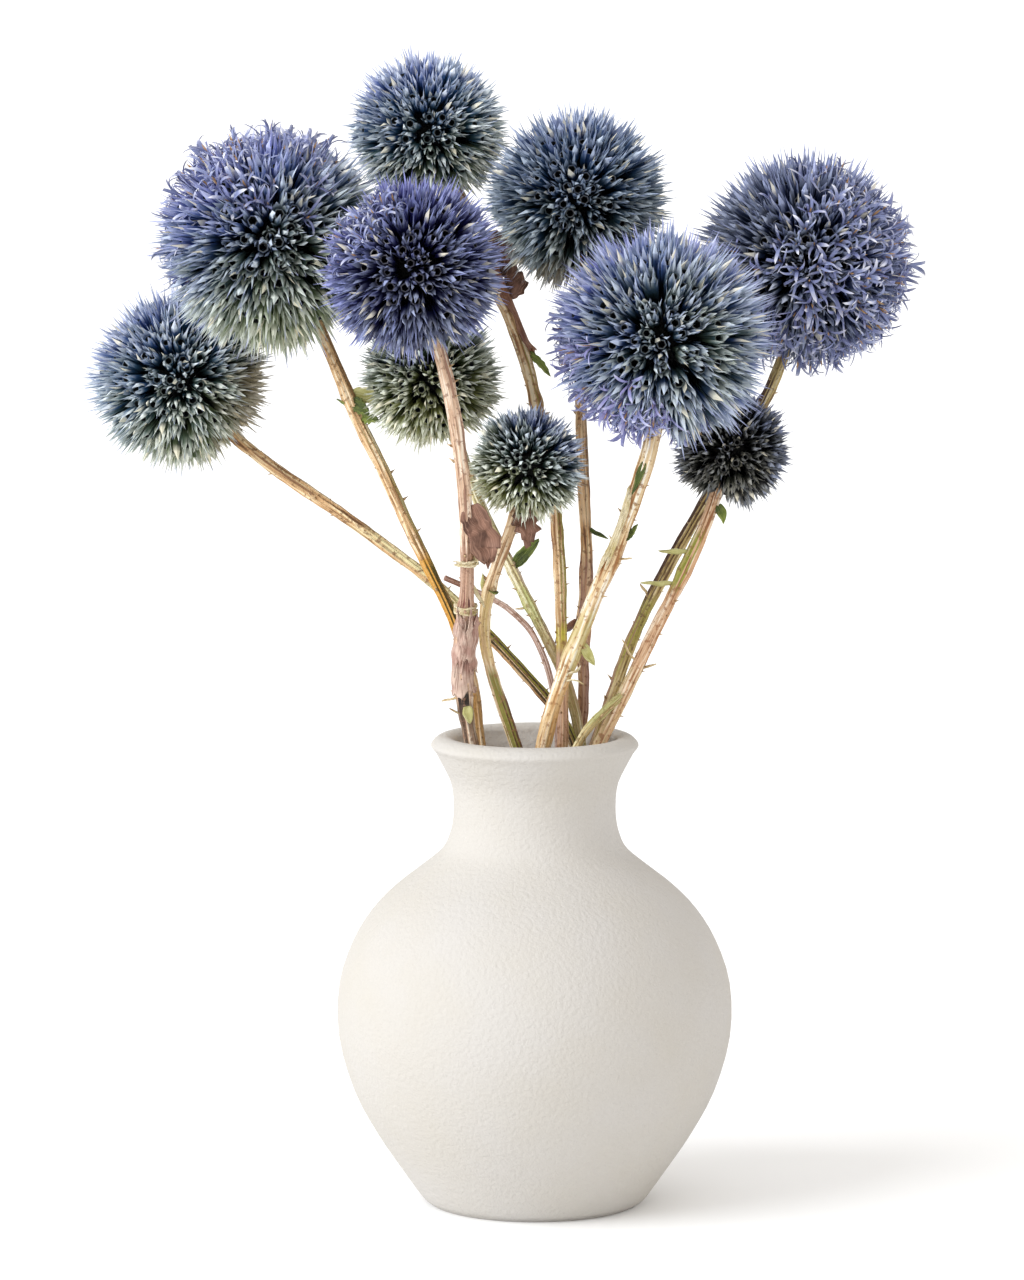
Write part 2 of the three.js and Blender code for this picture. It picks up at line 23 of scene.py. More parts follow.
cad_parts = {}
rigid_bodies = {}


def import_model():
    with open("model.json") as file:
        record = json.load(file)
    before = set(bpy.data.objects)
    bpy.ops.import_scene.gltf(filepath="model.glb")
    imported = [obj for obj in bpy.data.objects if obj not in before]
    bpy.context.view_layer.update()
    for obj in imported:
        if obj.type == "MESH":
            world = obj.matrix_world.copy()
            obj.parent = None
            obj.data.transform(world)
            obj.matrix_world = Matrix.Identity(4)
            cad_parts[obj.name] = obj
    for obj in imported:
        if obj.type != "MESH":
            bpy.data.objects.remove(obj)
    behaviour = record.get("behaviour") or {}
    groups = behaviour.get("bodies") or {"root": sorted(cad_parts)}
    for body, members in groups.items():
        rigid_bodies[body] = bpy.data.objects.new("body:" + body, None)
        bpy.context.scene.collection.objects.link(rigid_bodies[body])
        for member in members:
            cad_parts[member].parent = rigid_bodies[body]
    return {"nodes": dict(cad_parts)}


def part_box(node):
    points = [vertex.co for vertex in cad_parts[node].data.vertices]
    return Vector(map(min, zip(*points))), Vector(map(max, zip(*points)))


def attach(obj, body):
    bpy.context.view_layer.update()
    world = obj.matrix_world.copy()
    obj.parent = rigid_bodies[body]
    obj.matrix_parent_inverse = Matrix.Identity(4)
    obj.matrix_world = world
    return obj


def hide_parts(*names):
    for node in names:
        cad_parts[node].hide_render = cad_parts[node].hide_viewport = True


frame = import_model()

log = logging.getLogger("thistles")

MM = 0.001
GOLDEN_TURN = math.pi * (3 - math.sqrt(5))


# ---- small helpers -----------------------------------------------------------------------


def linear(hex_colour: str) -> tuple[float, float, float, float]:
    """Turns an sRGB hex colour to linear values.

    Args:
        hex_colour: six hex digits, such as "f0ece6".

    Returns:
        Red, green, blue and an alpha of 1.
    """
    channels = [int(hex_colour[i : i + 2], 16) / 255 for i in (0, 2, 4)]
    red, green, blue = (c / 12.92 if c <= 0.04045 else ((c + 0.055) / 1.055) ** 2.4 for c in channels)
    return red, green, blue, 1.0


class Graph:
    """Adds nodes to one node tree."""

    def __init__(self, tree: bpy.types.NodeTree) -> None:
        """Starts on a tree; nodes that are already there stay."""
        self.tree = tree

    @staticmethod
    def _find(sockets: Any, key: int | str) -> bpy.types.NodeSocket:
        """A socket by its number, identifier or name."""
        if isinstance(key, int):
            return sockets[key]
        for socket in sockets:
            if socket.identifier == key:
                return socket
        return next(socket for socket in sockets if socket.name == key and socket.enabled)

    def add(
        self, kind: str, inputs: dict[int | str, Any] | None = None, out: int | str = 0, **settings: Any
    ) -> bpy.types.NodeSocket | None:
        """Adds one node, with its settings, values and links.

        Args:
            kind: the node's type name.
            inputs: for each input socket, a value or the socket to link from.
            out: the output socket to return.
            **settings: the node's own properties.

        Returns:
            The chosen output socket, or None where the node has no outputs.
        """
        node = self.tree.nodes.new(kind)
        for name, value in settings.items():
            setattr(node, name, value)
        for key, value in (inputs or {}).items():
            target = self._find(node.inputs, key)
            if isinstance(value, bpy.types.NodeSocket):
                self.tree.links.new(value, target)
            else:
                target.default_value = value
        return self._find(node.outputs, out) if len(node.outputs) else None

    def ramp(self, value: bpy.types.NodeSocket, stops: tuple[tuple[float, str], ...]) -> bpy.types.NodeSocket:
        """Sets a colour by a value.

        Args:
            value: the socket that picks the colour.
            stops: places from 0 to 1, each with its hex colour.

        Returns:
            The colour's socket.
        """
        colour = self.add("ShaderNodeValToRGB", {0: value})
        elements = colour.node.color_ramp.elements
        while len(elements) < len(stops):
            elements.new(1.0)
        for element, (place, hex_colour) in zip(elements, stops):
            element.position = place
            element.color = linear(hex_colour)
        return colour


def new_material(name: str) -> tuple[bpy.types.Material, Graph]:
    """A material with an empty node tree, and its graph."""
    material = bpy.data.materials.new(name)
    material.use_nodes = True
    material.node_tree.nodes.clear()
    return material, Graph(material.node_tree)


def shown(graph: Graph, surface: bpy.types.NodeSocket) -> None:
    """Links a shader to the material's output."""
    graph.add("ShaderNodeOutputMaterial", {"Surface": surface})


def new_object(name: str, mesh: bpy.types.Mesh) -> bpy.types.Object:
    """Links a new object that holds the mesh, unturned, at the origin."""
    made = bpy.data.objects.new(name, mesh)
    bpy.context.scene.collection.objects.link(made)
    return made


def mesh_of(
    name: str,
    vertices: list[Vector],
    faces: list[tuple[int, ...]],
    attributes: dict[str, list[float]] | None = None,
) -> bpy.types.Mesh:
    """A mesh from its vertices and faces, with a number for each vertex under each attribute's name."""
    mesh = bpy.data.meshes.new(name)
    mesh.from_pydata([tuple(v) for v in vertices], [], faces)
    for key, values in (attributes or {}).items():
        mesh.attributes.new(key, "FLOAT", "POINT").data.foreach_set("value", values)
    return mesh


def face_out(mesh: bpy.types.Mesh, merge: float = 0.0) -> None:
    """Merges a mesh's doubles within a distance and turns its faces outwards."""
    work = bmesh.new()
    work.from_mesh(mesh)
    if merge:
        bmesh.ops.remove_doubles(work, verts=work.verts, dist=merge)
        bmesh.ops.dissolve_degenerate(work, edges=work.edges, dist=merge / 10)
    bmesh.ops.recalc_face_normals(work, faces=work.faces)
    work.to_mesh(mesh)
    work.free()


def set_inputs(modifier: bpy.types.NodesModifier, values: dict[str, Any]) -> None:
    """Sets a Geometry Nodes modifier's inputs by name, through their identifiers."""
    sockets = {item.name: item for item in modifier.node_group.interface.items_tree if item.in_out == "INPUT"}
    for name, value in values.items():
        modifier[sockets[name].identifier] = value


def made_plain(piece: bpy.types.Object) -> bpy.types.Object:
    """Turns a piece with live modifiers into the plain mesh that they make."""
    depsgraph = bpy.context.evaluated_depsgraph_get()
    evaluated = piece.evaluated_get(depsgraph)
    mesh = bpy.data.meshes.new_from_object(evaluated, preserve_all_data_layers=True, depsgraph=depsgraph)
    mesh.name = piece.name
    piece.modifiers.clear()
    piece.data = mesh
    return piece


def grown(name: str, base: bpy.types.Mesh, tree: bpy.types.NodeTree, values: dict[str, Any]) -> bpy.types.Object:
    """Runs a Geometry Nodes tree on a mesh and keeps the result as a plain piece."""
    piece = new_object(name, base)
    modifier = piece.modifiers.new("Grown", "NODES")
    modifier.node_group = tree
    set_inputs(modifier, values)
    return made_plain(piece)


def tree_with(
    name: str, sockets: dict[str, str]
) -> tuple[bpy.types.NodeTree, Graph, dict[str, bpy.types.NodeSocket]]:
    """A new Geometry Nodes tree with named inputs.

    Args:
        name: the tree's name.
        sockets: for each input, the kind of its socket.

    Returns:
        The tree, its graph and the input sockets by name.
    """
    tree = bpy.data.node_groups.new(name, "GeometryNodeTree")
    tree.interface.new_socket("Geometry", in_out="OUTPUT", socket_type="NodeSocketGeometry")
    tree.interface.new_socket("Geometry", in_out="INPUT", socket_type="NodeSocketGeometry")
    for socket, kind in sockets.items():
        tree.interface.new_socket(socket, in_out="INPUT", socket_type="NodeSocket" + kind)
    graph = Graph(tree)
    first = graph.add("NodeGroupInput")
    return tree, graph, {socket.name: socket for socket in first.node.outputs}


def declare(piece: bpy.types.Object, slot: str, *nodes: str) -> bpy.types.Object:
    """Ties a finished piece to the frame, and reports it.

    Args:
        piece: the piece, at the origin, with its final mesh.
        slot: the record's material slot; not used.
        *nodes: the solids that it stands for.

    Returns:
        The same piece.
    """
    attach(piece, "root")
    if nodes:
        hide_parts(*nodes)
    log.info("%s: %d faces", piece.name, len(piece.data.polygons))
    return piece


# ---- finishes ----------------------------------------------------------------------------


class Slot(Enum):
    """The record's material slots."""

    STONEWARE = "stoneware"
    STRAW = "bark_straw"
    OLIVE = "bark_olive"
    BROWN = "bark_brown"
    PINK = "bark_pink"
    BLUE = "florets_blue"
    VIOLET = "florets_violet"
    INDIGO = "florets_indigo"
    GREEN = "florets_green"
    SLATE = "florets_slate"


@dataclass(frozen=True)
class Bisque:
    """Unglazed off-white stoneware, thrown and sponged.

    A dry, chalky clay: no gloss at all, a soft sub-millimetre relief like orange peel, and
    faint clouds of warmer clay.
    """

    clay: str = "c3bfba"
    warm: str = "c1bcb4"
    cloud_mm: float = 22.0
    peel_mm: float = 1.1
    grit_mm: float = 0.35
    roughness: float = 0.82

    @cache
    def material(self) -> bpy.types.Material:
        """Builds the material."""
        material, g = new_material("bisque_stoneware")
        place = g.add("ShaderNodeTexCoord", out="Object")
        cloud = g.add(
            "ShaderNodeTexNoise", {"Vector": place, "Scale": 1 / (self.cloud_mm * MM), "Detail": 3.0}, out="Fac"
        )
        colour = g.ramp(cloud, ((0.35, self.clay), (0.75, self.warm)))
        peel = g.add(
            "ShaderNodeTexNoise", {"Vector": place, "Scale": 1 / (self.peel_mm * MM), "Detail": 1.5}, out="Fac"
        )
        grit = g.add(
            "ShaderNodeTexNoise", {"Vector": place, "Scale": 1 / (self.grit_mm * MM), "Detail": 2.0}, out="Fac"
        )
        soft = g.add("ShaderNodeBump", {"Height": peel, "Distance": 0.32 * MM, "Strength": 0.8})
        fine = g.add("ShaderNodeBump", {"Height": grit, "Distance": 0.1 * MM, "Strength": 0.7, "Normal": soft})
        skin = g.add(
            "ShaderNodeBsdfPrincipled",
            {"Base Color": colour, "Roughness": self.roughness, "Specular IOR Level": 0.25, "Normal": fine},
        )
        shown(g, skin)
        return material


@dataclass(frozen=True)
class BractFinish:
    """Dried thistle bracts: stiff, papery slivers with a keel and a thin pale margin.

    Green bracts ripen to blue and violet. Their faces have a dull satin gloss. Their margins
    and mouths are made pale, partly their own pale margins and partly painted highlight, and
    the roots between them are painted almost black as shade.
    """

    name: str
    # colours of the blade and of its pale margin, which is partly painted highlight, from the youngest florets to the
    # ripest
    blade: tuple[str, str, str, str]
    pale: tuple[str, str, str, str]
    tip: str
    # root: a near-black painted shade towards each floret's root, deep between the florets
    root: str = "0c1013"
    # cream: patches near the mouth, painted highlight
    cream: str = "efe6c8"
    withered: str = "8f7d5c"
    # how strongly the pale colour is laid on: the margins' own paleness and painted highlight
    pale_highlight_share: float = 0.7
    roughness: float = 0.36

    AGES = (0.0, 0.36, 0.66, 1.0)

    @staticmethod
    def _over(g: Graph, share: Any, below: Any, above: Any) -> bpy.types.NodeSocket:
        """One colour laid over another by a share."""
        inputs = {"Factor_Float": share, "A_Color": below, "B_Color": above}
        return g.add("ShaderNodeMix", inputs, out="Result_Color", data_type="RGBA")

    @staticmethod
    def _span(g: Graph, value: Any, low: float, high: float, most: float = 1.0) -> bpy.types.NodeSocket:
        """Runs from 0 to the most as a value goes from low to high."""
        return g.add("ShaderNodeMapRange", {"Value": value, "From Min": low, "From Max": high, "To Max": most})

    @cache
    def material(self) -> bpy.types.Material:
        """Builds the material, which reads the florets' own attributes."""
        material, g = new_material("bracts_" + self.name)
        along, age, tone, margin, sliver, wither = (
            g.add("ShaderNodeAttribute", out="Fac", attribute_name=name)
            for name in ("along", "age", "tone", "margin", "sliver", "wither")
        )
        place = g.add("ShaderNodeTexCoord", out="Object")
        mottle = g.add("ShaderNodeTexNoise", {"Vector": place, "Scale": 1 / (2.2 * MM), "Detail": 3.0}, out="Fac")
        wander = g.add("ShaderNodeMath", {0: tone, 1: mottle}, operation="ADD")
        wander = g.add("ShaderNodeMath", {0: wander, 1: sliver}, operation="ADD")
        wander = g.add("ShaderNodeMath", {0: wander, 1: 0.22, 2: -0.33}, operation="MULTIPLY_ADD")
        bluer = g.add("ShaderNodeMath", {0: along, 1: 0.7, 2: -0.56}, operation="MULTIPLY_ADD")
        wander = g.add("ShaderNodeMath", {0: wander, 1: bluer}, operation="ADD")
        ripeness = g.add("ShaderNodeMath", {0: age, 1: wander}, operation="ADD", use_clamp=True)
        blade = g.ramp(ripeness, tuple(zip(self.AGES, self.blade)))
        pale = g.ramp(ripeness, tuple(zip(self.AGES, self.pale)))
        # the margins are made pale towards the point, and about half of the slivers all over: partly the bracts' own
        # pale margins, partly painted highlight
        thin = g.add("ShaderNodeMath", {0: margin, 1: self._span(g, along, 0.76, 0.94, 0.72)}, operation="MULTIPLY")
        # mouth: a painted highlight at the mouths of about half of the slivers
        mouth = g.add(
            "ShaderNodeMath",
            {0: self._span(g, sliver, 0.46, 0.56), 1: self._span(g, along, 0.79, 0.87, 1.0)},
            operation="MULTIPLY",
        )
        pale_and_highlight = g.add("ShaderNodeMath", {0: thin, 1: mouth}, operation="MAXIMUM")
        pale_and_highlight = g.add("ShaderNodeMath", {0: pale_and_highlight, 1: self.pale_highlight_share}, operation="MULTIPLY")
        colour = self._over(g, pale_and_highlight, blade, pale)
        colour = self._over(g, self._span(g, along, 0.97, 1.06, 0.85), colour, linear(self.tip))
        # patch: cream patches near the mouth on a few slivers, painted highlight
        patch = g.add(
            "ShaderNodeMath",
            {0: self._span(g, sliver, 0.86, 0.92), 1: self._span(g, along, 0.78, 0.88, 0.8)},
            operation="MULTIPLY",
        )
        colour = self._over(g, patch, colour, linear(self.cream))
        faded = g.add("ShaderNodeMath", {0: wither, 1: 0.7}, operation="MULTIPLY")
        colour = self._over(g, faded, colour, linear(self.withered))
        # painted shade: each floret darkens to the near-black root colour towards the head's centre
        root_shade = g.add(
            "ShaderNodeMapRange",
            {"Value": along, "From Min": 0.54, "From Max": 0.86},
            interpolation_type="SMOOTHSTEP",
        )
        colour = self._over(g, root_shade, linear(self.root), colour)
        skin = g.add(
            "ShaderNodeBsdfPrincipled",
            {"Base Color": colour, "Roughness": self.roughness, "Specular IOR Level": 0.75},
        )
        shown(g, skin)
        return material


@dataclass(frozen=True)
class PetalFinish:
    """Dried corollas: thin, soft ribbons of lilac blue with paler ends and tan anthers."""

    name: str
    throat: str
    petal: str
    pale: str
    shade: str
    anther: str = "c79a5c"
    roughness: float = 0.6

    @cache
    def material(self) -> bpy.types.Material:
        """Builds the material, which reads the petals' own attributes."""
        material, g = new_material("petals_" + self.name)
        along, tone, sliver, anther = (
            g.add("ShaderNodeAttribute", out="Fac", attribute_name=name)
            for name in ("along", "tone", "sliver", "anther")
        )
        place = g.add("ShaderNodeTexCoord", out="Object")
        mottle = g.add("ShaderNodeTexNoise", {"Vector": place, "Scale": 1 / (1.6 * MM), "Detail": 2.0}, out="Fac")
        colour = g.ramp(along, ((0.0, self.throat), (0.3, self.petal), (0.6, self.petal), (0.95, self.pale)))
        mixed = g.add("ShaderNodeMath", {0: tone, 1: sliver}, operation="ADD")
        mixed = g.add("ShaderNodeMath", {0: mixed, 1: mottle}, operation="ADD")
        mixed = g.add("ShaderNodeMapRange", {"Value": mixed, "From Min": 0.9, "From Max": 2.3, "To Max": 0.85})
        colour = g.add(
            "ShaderNodeMix",
            {"Factor_Float": mixed, "A_Color": colour, "B_Color": linear(self.shade)},
            out="Result_Color",
            data_type="RGBA",
        )
        colour = g.add(
            "ShaderNodeMix",
            {"Factor_Float": anther, "A_Color": colour, "B_Color": linear(self.anther)},
            out="Result_Color",
            data_type="RGBA",
        )
        skin = g.add(
            "ShaderNodeBsdfPrincipled",
            {"Base Color": colour, "Roughness": self.roughness, "Specular IOR Level": 0.35},
        )
        shown(g, skin)
        return material


@dataclass(frozen=True)
class Band:
    """A length of bark in another colour.

    It lies between two heights in mm. With a side it keeps to the bark that faces that way,
    from the cosine at which it begins.
    """

    low: float
    high: float
    colour: str
    share: float = 0.8
    side: tuple[float, float, float] | None = None
    begins: float = 0.1
    patchy: bool = True


@dataclass(frozen=True)
class BarkFinish:
    """Dried thistle stalk: ribbed straw-like bark, pale on its ribs: partly scraped bark, partly painted highlight.

    Long dark streaks lie in the grooves, partly the bark's own brown streaks and partly painted shade, and the bark is
    stained green, red or brown in places.
    """

    name: str
    ground: str
    # light: the pale colour of the raised fibres, partly painted highlight; streak: the dark colour in the grooves,
    # partly painted shade
    light: str
    streak: str
    bands: tuple[Band, ...] = ()
    streak_mm: float = 13.0
    roughness: float = 0.55

    @cache
    def material(self) -> bpy.types.Material:
        """Builds the material, whose streaks follow the stalk."""
        material, g = new_material("bark_" + self.name)
        turn = g.add("ShaderNodeAttribute", out="Vector", attribute_name="turn")
        along = g.add("ShaderNodeAttribute", out="Fac", attribute_name="along")
        sideways = g.add("ShaderNodeVectorMath", {0: turn, "Scale": 2.2}, operation="SCALE")
        lengthways = g.add("ShaderNodeMath", {0: along, 1: 1 / (self.streak_mm * MM)}, operation="MULTIPLY")
        lift = g.add("ShaderNodeCombineXYZ", {"Z": lengthways})
        grain = g.add("ShaderNodeVectorMath", {0: sideways, 1: lift}, operation="ADD")
        fibre = g.add("ShaderNodeTexNoise", {"Vector": grain, "Scale": 1.0, "Detail": 3.0}, out="Fac")
        broad = g.add("ShaderNodeTexNoise", {"Vector": grain, "Scale": 0.45, "Detail": 2.0}, out="Fac")
        # raised fibres take the light colour and low ones the streak colour: painted highlight and painted shade along
        # with the bark's own streaks
        colour = g.ramp(fibre, ((0.38, self.streak), (0.46, self.ground), (0.52, self.ground), (0.6, self.light)))
        place = g.add("ShaderNodeTexCoord", out="Object")
        height = g.add("ShaderNodeSeparateXYZ", {0: place}, out="Z")
        patchy = g.add("ShaderNodeMapRange", {"Value": broad, "From Min": 0.38, "From Max": 0.56})
        for band in self.bands:
            share = self._window(g, height, band)
            if band.patchy:
                share = g.add("ShaderNodeMath", {0: share, 1: patchy}, operation="MULTIPLY")
            inputs = {"Factor_Float": share, "A_Color": colour, "B_Color": linear(band.colour)}
            colour = g.add("ShaderNodeMix", inputs, out="Result_Color", data_type="RGBA")
        pitted = g.add("ShaderNodeTexNoise", {"Vector": place, "Scale": 1 / (1.3 * MM), "Detail": 3.0}, out="Fac")
        fleck = g.add("ShaderNodeMapRange", {"Value": pitted, "From Min": 0.57, "From Max": 0.64, "To Max": 0.75})
        inputs = {"Factor_Float": fleck, "A_Color": colour, "B_Color": linear(self.streak)}
        colour = g.add("ShaderNodeMix", inputs, out="Result_Color", data_type="RGBA")
        relief = g.add("ShaderNodeMath", {0: fibre, 1: pitted}, operation="ADD")
        raised = g.add("ShaderNodeBump", {"Height": relief, "Distance": 0.5 * MM, "Strength": 0.9})
        skin = g.add(
            "ShaderNodeBsdfPrincipled",
            {"Base Color": colour, "Roughness": self.roughness, "Specular IOR Level": 0.4, "Normal": raised},
        )
        shown(g, skin)
        return material

    @staticmethod
    def _window(g: Graph, height: Any, band: Band) -> bpy.types.NodeSocket:
        """How strong a band is at a height and on a side of the stalk."""
        soft = 3 * MM
        above = {"Value": height, "From Min": band.low * MM - soft, "From Max": band.low * MM}
        below = {"Value": height, "From Min": band.high * MM + soft, "From Max": band.high * MM}
        share = g.add("ShaderNodeMapRange", above | {"To Max": band.share})
        share = g.add("ShaderNodeMath", {0: share, 1: g.add("ShaderNodeMapRange", below)}, operation="MULTIPLY")
        if band.side is None:
            return share
        facing = g.add("ShaderNodeAttribute", out="Vector", attribute_name="facing")
        way = tuple(Vector(band.side).normalized())
        cosine = g.add("ShaderNodeVectorMath", {0: facing, 1: way}, out="Value", operation="DOT_PRODUCT")
        full = band.begins + 0.25 * (1 - band.begins)
        sided = g.add("ShaderNodeMapRange", {"Value": cosine, "From Min": band.begins, "From Max": full})
        return g.add("ShaderNodeMath", {0: share, 1: sided}, operation="MULTIPLY")


@dataclass(frozen=True)
class LeafFinish:
    """Dried leaf or papery bark: thin, veined and mottled."""

    name: str
    ground: str
    patch: str
    vein: str
    roughness: float = 0.6

    @cache
    def material(self) -> bpy.types.Material:
        """Builds the material, whose veins run along the leaf."""
        material, g = new_material("leaf_" + self.name)
        across = g.add("ShaderNodeAttribute", out="Fac", attribute_name="across")
        along = g.add("ShaderNodeAttribute", out="Fac", attribute_name="along")
        sheet = g.add("ShaderNodeCombineXYZ", {"X": across, "Y": along})
        fine = g.add("ShaderNodeVectorMath", {0: sheet, 1: (9.0, 1.4, 1.0)}, operation="MULTIPLY")
        vein = g.add("ShaderNodeTexNoise", {"Vector": fine, "Scale": 1.6, "Detail": 3.0}, out="Fac")
        place = g.add("ShaderNodeTexCoord", out="Object")
        blotch = g.add("ShaderNodeTexNoise", {"Vector": place, "Scale": 1 / (4 * MM), "Detail": 3.0}, out="Fac")
        colour = g.ramp(blotch, ((0.36, self.patch), (0.58, self.ground)))
        line = g.add("ShaderNodeMapRange", {"Value": vein, "From Min": 0.52, "From Max": 0.64, "To Max": 0.7})
        colour = g.add(
            "ShaderNodeMix",
            {"Factor_Float": line, "A_Color": colour, "B_Color": linear(self.vein)},
            out="Result_Color",
            data_type="RGBA",
        )
        raised = g.add("ShaderNodeBump", {"Height": vein, "Distance": 0.2 * MM, "Strength": 0.7})
        skin = g.add(
            "ShaderNodeBsdfPrincipled",
            {"Base Color": colour, "Roughness": self.roughness, "Specular IOR Level": 0.35, "Normal": raised},
        )
        shown(g, skin)
        return material


@dataclass(frozen=True)
class PlainFinish:
    """A matt dry plant surface with fine specks."""

    name: str
    colour: str
    speck: str
    speck_mm: float
    roughness: float

    @cache
    def material(self) -> bpy.types.Material:
        """Builds the material."""
        material, g = new_material(self.name)
        place = g.add("ShaderNodeTexCoord", out="Object")
        inputs = {"Vector": place, "Scale": 1 / (self.speck_mm * MM), "Detail": 2.0}
        spots = g.add("ShaderNodeTexNoise", inputs, out="Fac")
        colours = g.ramp(spots, ((0.4, self.colour), (0.65, self.speck)))
        shown(g, g.add("ShaderNodeBsdfPrincipled", {"Base Color": colours, "Roughness": self.roughness}))
        return material


# the head's core: near-black, painted shade deep between the florets
SHADED_CORE = PlainFinish("head_core", "070806", "0e0f0b", 0.8, 0.95)
PRICKLE = PlainFinish("prickles", "c9ad84", "8a6a48", 0.6, 0.6)


# ---- vase --------------------------------------------------------------------------------


@dataclass
class Vase:
    """The round-bellied bottle vase, turned finely from the profile of its solid."""

    node: str = "vase"
    sides: int = 144
    steps: int = 3
    wobble_mm: float = 0.12
    flare_mm: float = 0.9  # that fills the hollow under the lip
    flare_at_mm: float = 113.2
    flare_reach_mm: float = 7.5
    finish: Bisque = field(default_factory=Bisque)

    def profile(self) -> list[tuple[float, float]]:
        """The solid's profile as radius and height, from the foot's centre round to the floor inside."""
        work = bmesh.new()
        work.from_mesh(frame["nodes"][self.node].data)
        bmesh.ops.remove_doubles(work, verts=work.verts, dist=1e-6)
        meridian = [v for v in work.verts if abs(v.co.y) < 1e-6 and v.co.x > -1e-6]
        here = min((v for v in meridian if v.co.x < 1e-6), key=lambda v: v.co.z)
        seen: list[Any] = []
        while here is not None:
            seen.append(here)
            ahead = [e.other_vert(here) for e in here.link_edges]
            here = next((v for v in ahead if v in meridian and v not in seen), None)
        points = [(max(v.co.x, 0.0), v.co.z) for v in seen]
        work.free()
        return points

    def smoothed(self, points: list[tuple[float, float]]) -> list[tuple[float, float]]:
        """The curved wall's points drawn closer by a Catmull-Rom curve; both flat bases stay as they are."""
        wall = [Vector((r, z, 0)) for r, z in points[1:-1]]
        fine: list[Vector] = []
        for i in range(len(wall) - 1):
            a, b = wall[i], wall[i + 1]
            before = wall[i - 1] if i > 0 else a
            after = wall[i + 2] if i + 2 < len(wall) else b
            for step in range(self.steps):
                t = step / self.steps
                fine.append(
                    0.5
                    * (
                        2 * a
                        + (b - before) * t
                        + (2 * before - 5 * a + 4 * b - after) * t * t
                        + (3 * a - before - 3 * b + after) * t**3
                    )
                )
        fine.append(wall[-1])
        top = max(range(len(fine)), key=lambda i: fine[i].y)
        for point in fine[:top]:
            near = max(0.0, 1 - abs(point.y / MM - self.flare_at_mm) / self.flare_reach_mm)
            point.x += self.flare_mm * MM * near * near * (3 - 2 * near)
        return [points[0]] + [(p.x, p.y) for p in fine] + [points[-1]]

    def build(self) -> None:
        profile = self.smoothed(self.profile())
        vertices = [Vector((0, 0, profile[0][1])), Vector((0, 0, profile[-1][1]))]
        rings = []
        for radius, height in profile[1:-1]:
            ring = []
            for k in range(self.sides):
                angle = 2 * math.pi * k / self.sides
                out = Vector((math.cos(angle), math.sin(angle), 0))
                wander = self.wobble_mm * MM * noise.noise(out * 1.5 + Vector((0, 0, height * 30)))
                ring.append(len(vertices))
                vertices.append(out * (radius + wander) + Vector((0, 0, height)))
            rings.append(ring)
        faces: list[tuple[int, ...]] = []
        for k in range(self.sides):
            after = (k + 1) % self.sides
            faces.append((0, rings[0][after], rings[0][k]))
            faces.append((1, rings[-1][k], rings[-1][after]))
            faces += [(low[k], low[after], high[after], high[k]) for low, high in zip(rings, rings[1:])]
        mesh = mesh_of("vase_body", vertices, faces)
        face_out(mesh)
        mesh.shade_smooth()
        mesh.materials.append(self.finish.material())
        declare(new_object("vase_body", mesh), Slot.STONEWARE.value, self.node)


# ---- florets -----------------------------------------------------------------------------


class Slivers:
    """Gathers the closed slivers that make up one floret."""

    def __init__(self, names: tuple[str, ...]) -> None:
        """Starts empty, with the names of the numbers that each vertex carries."""
        self.vertices: list[Vector] = []
        self.faces: list[tuple[int, ...]] = []
        self.numbers: dict[str, list[float]] = {name: [] for name in names}

    def _vertex(self, at: Vector, numbers: dict[str, float]) -> int:
        """Adds one vertex and returns its index."""
        self.vertices.append(at)
        for name, values in self.numbers.items():
            values.append(numbers.get(name, 0.0))
        return len(self.vertices) - 1

    def sliver(self, stations: list[tuple[list[Vector], list[dict[str, float]]]]) -> None:
        """Adds one closed sliver.

        Args:
            stations: the rings of points along it, each with its vertices' numbers. The first
                and the last are single points.
        """
        rings = [[self._vertex(p, n) for p, n in zip(points, numbers)] for points, numbers in stations]
        for low, high in zip(rings, rings[1:]):
            count = max(len(low), len(high))
            for k in range(count):
                after = (k + 1) % count
                if len(low) == 1:
                    self.faces.append((low[0], high[after], high[k]))
                elif len(high) == 1:
                    self.faces.append((low[k], low[after], high[0]))
                else:
                    self.faces.append((low[k], low[after], high[after], high[k]))

    def keeled(self, spine: list[tuple[Vector, Vector, Vector, float, float]], **numbers: float) -> None:
        """Adds a keeled blade along its spine.

        Args:
            spine: for each station its place, the way out from the axis, the way across, its
                width and how far along it is. The first and the last have no width.
            **numbers: further numbers for every vertex.
        """
        stations = []
        for at, out, across, width, along in spine:
            if width == 0:
                stations.append(([at], [dict(numbers, along=along, margin=0.7)]))
                continue
            edge = dict(numbers, along=along, margin=1.0)
            keel = dict(numbers, along=along, margin=0.0)
            stations.append(
                ([at - across * width / 2, at + out * width * 0.34, at + across * width / 2], [edge, keel, edge])
            )
        self.sliver(stations)

    def as_object(self, name: str) -> bpy.types.Object:
        """The gathered slivers as an object, outside the scene, faces outwards."""
        mesh = mesh_of(name, self.vertices, self.faces, self.numbers)
        face_out(mesh)
        return bpy.data.objects.new(name, mesh)


def wayward(angle: float) -> tuple[Vector, Vector]:
    """The way out from the floret's axis at an angle, and the way across it."""
    out = Vector((math.cos(angle), math.sin(angle), 0))
    return out, Vector((-out.y, out.x, 0))


@dataclass(frozen=True)
class Station:
    """One place along a bract: its share of the head's reach, its stand-off and its width in mm."""

    along: float
    out: float
    width: float


@dataclass(frozen=True)
class Whorl:
    """One ring of bracts, from their roots to their points."""

    count: int
    stations: tuple[Station, ...]
    turn: float = 0.0


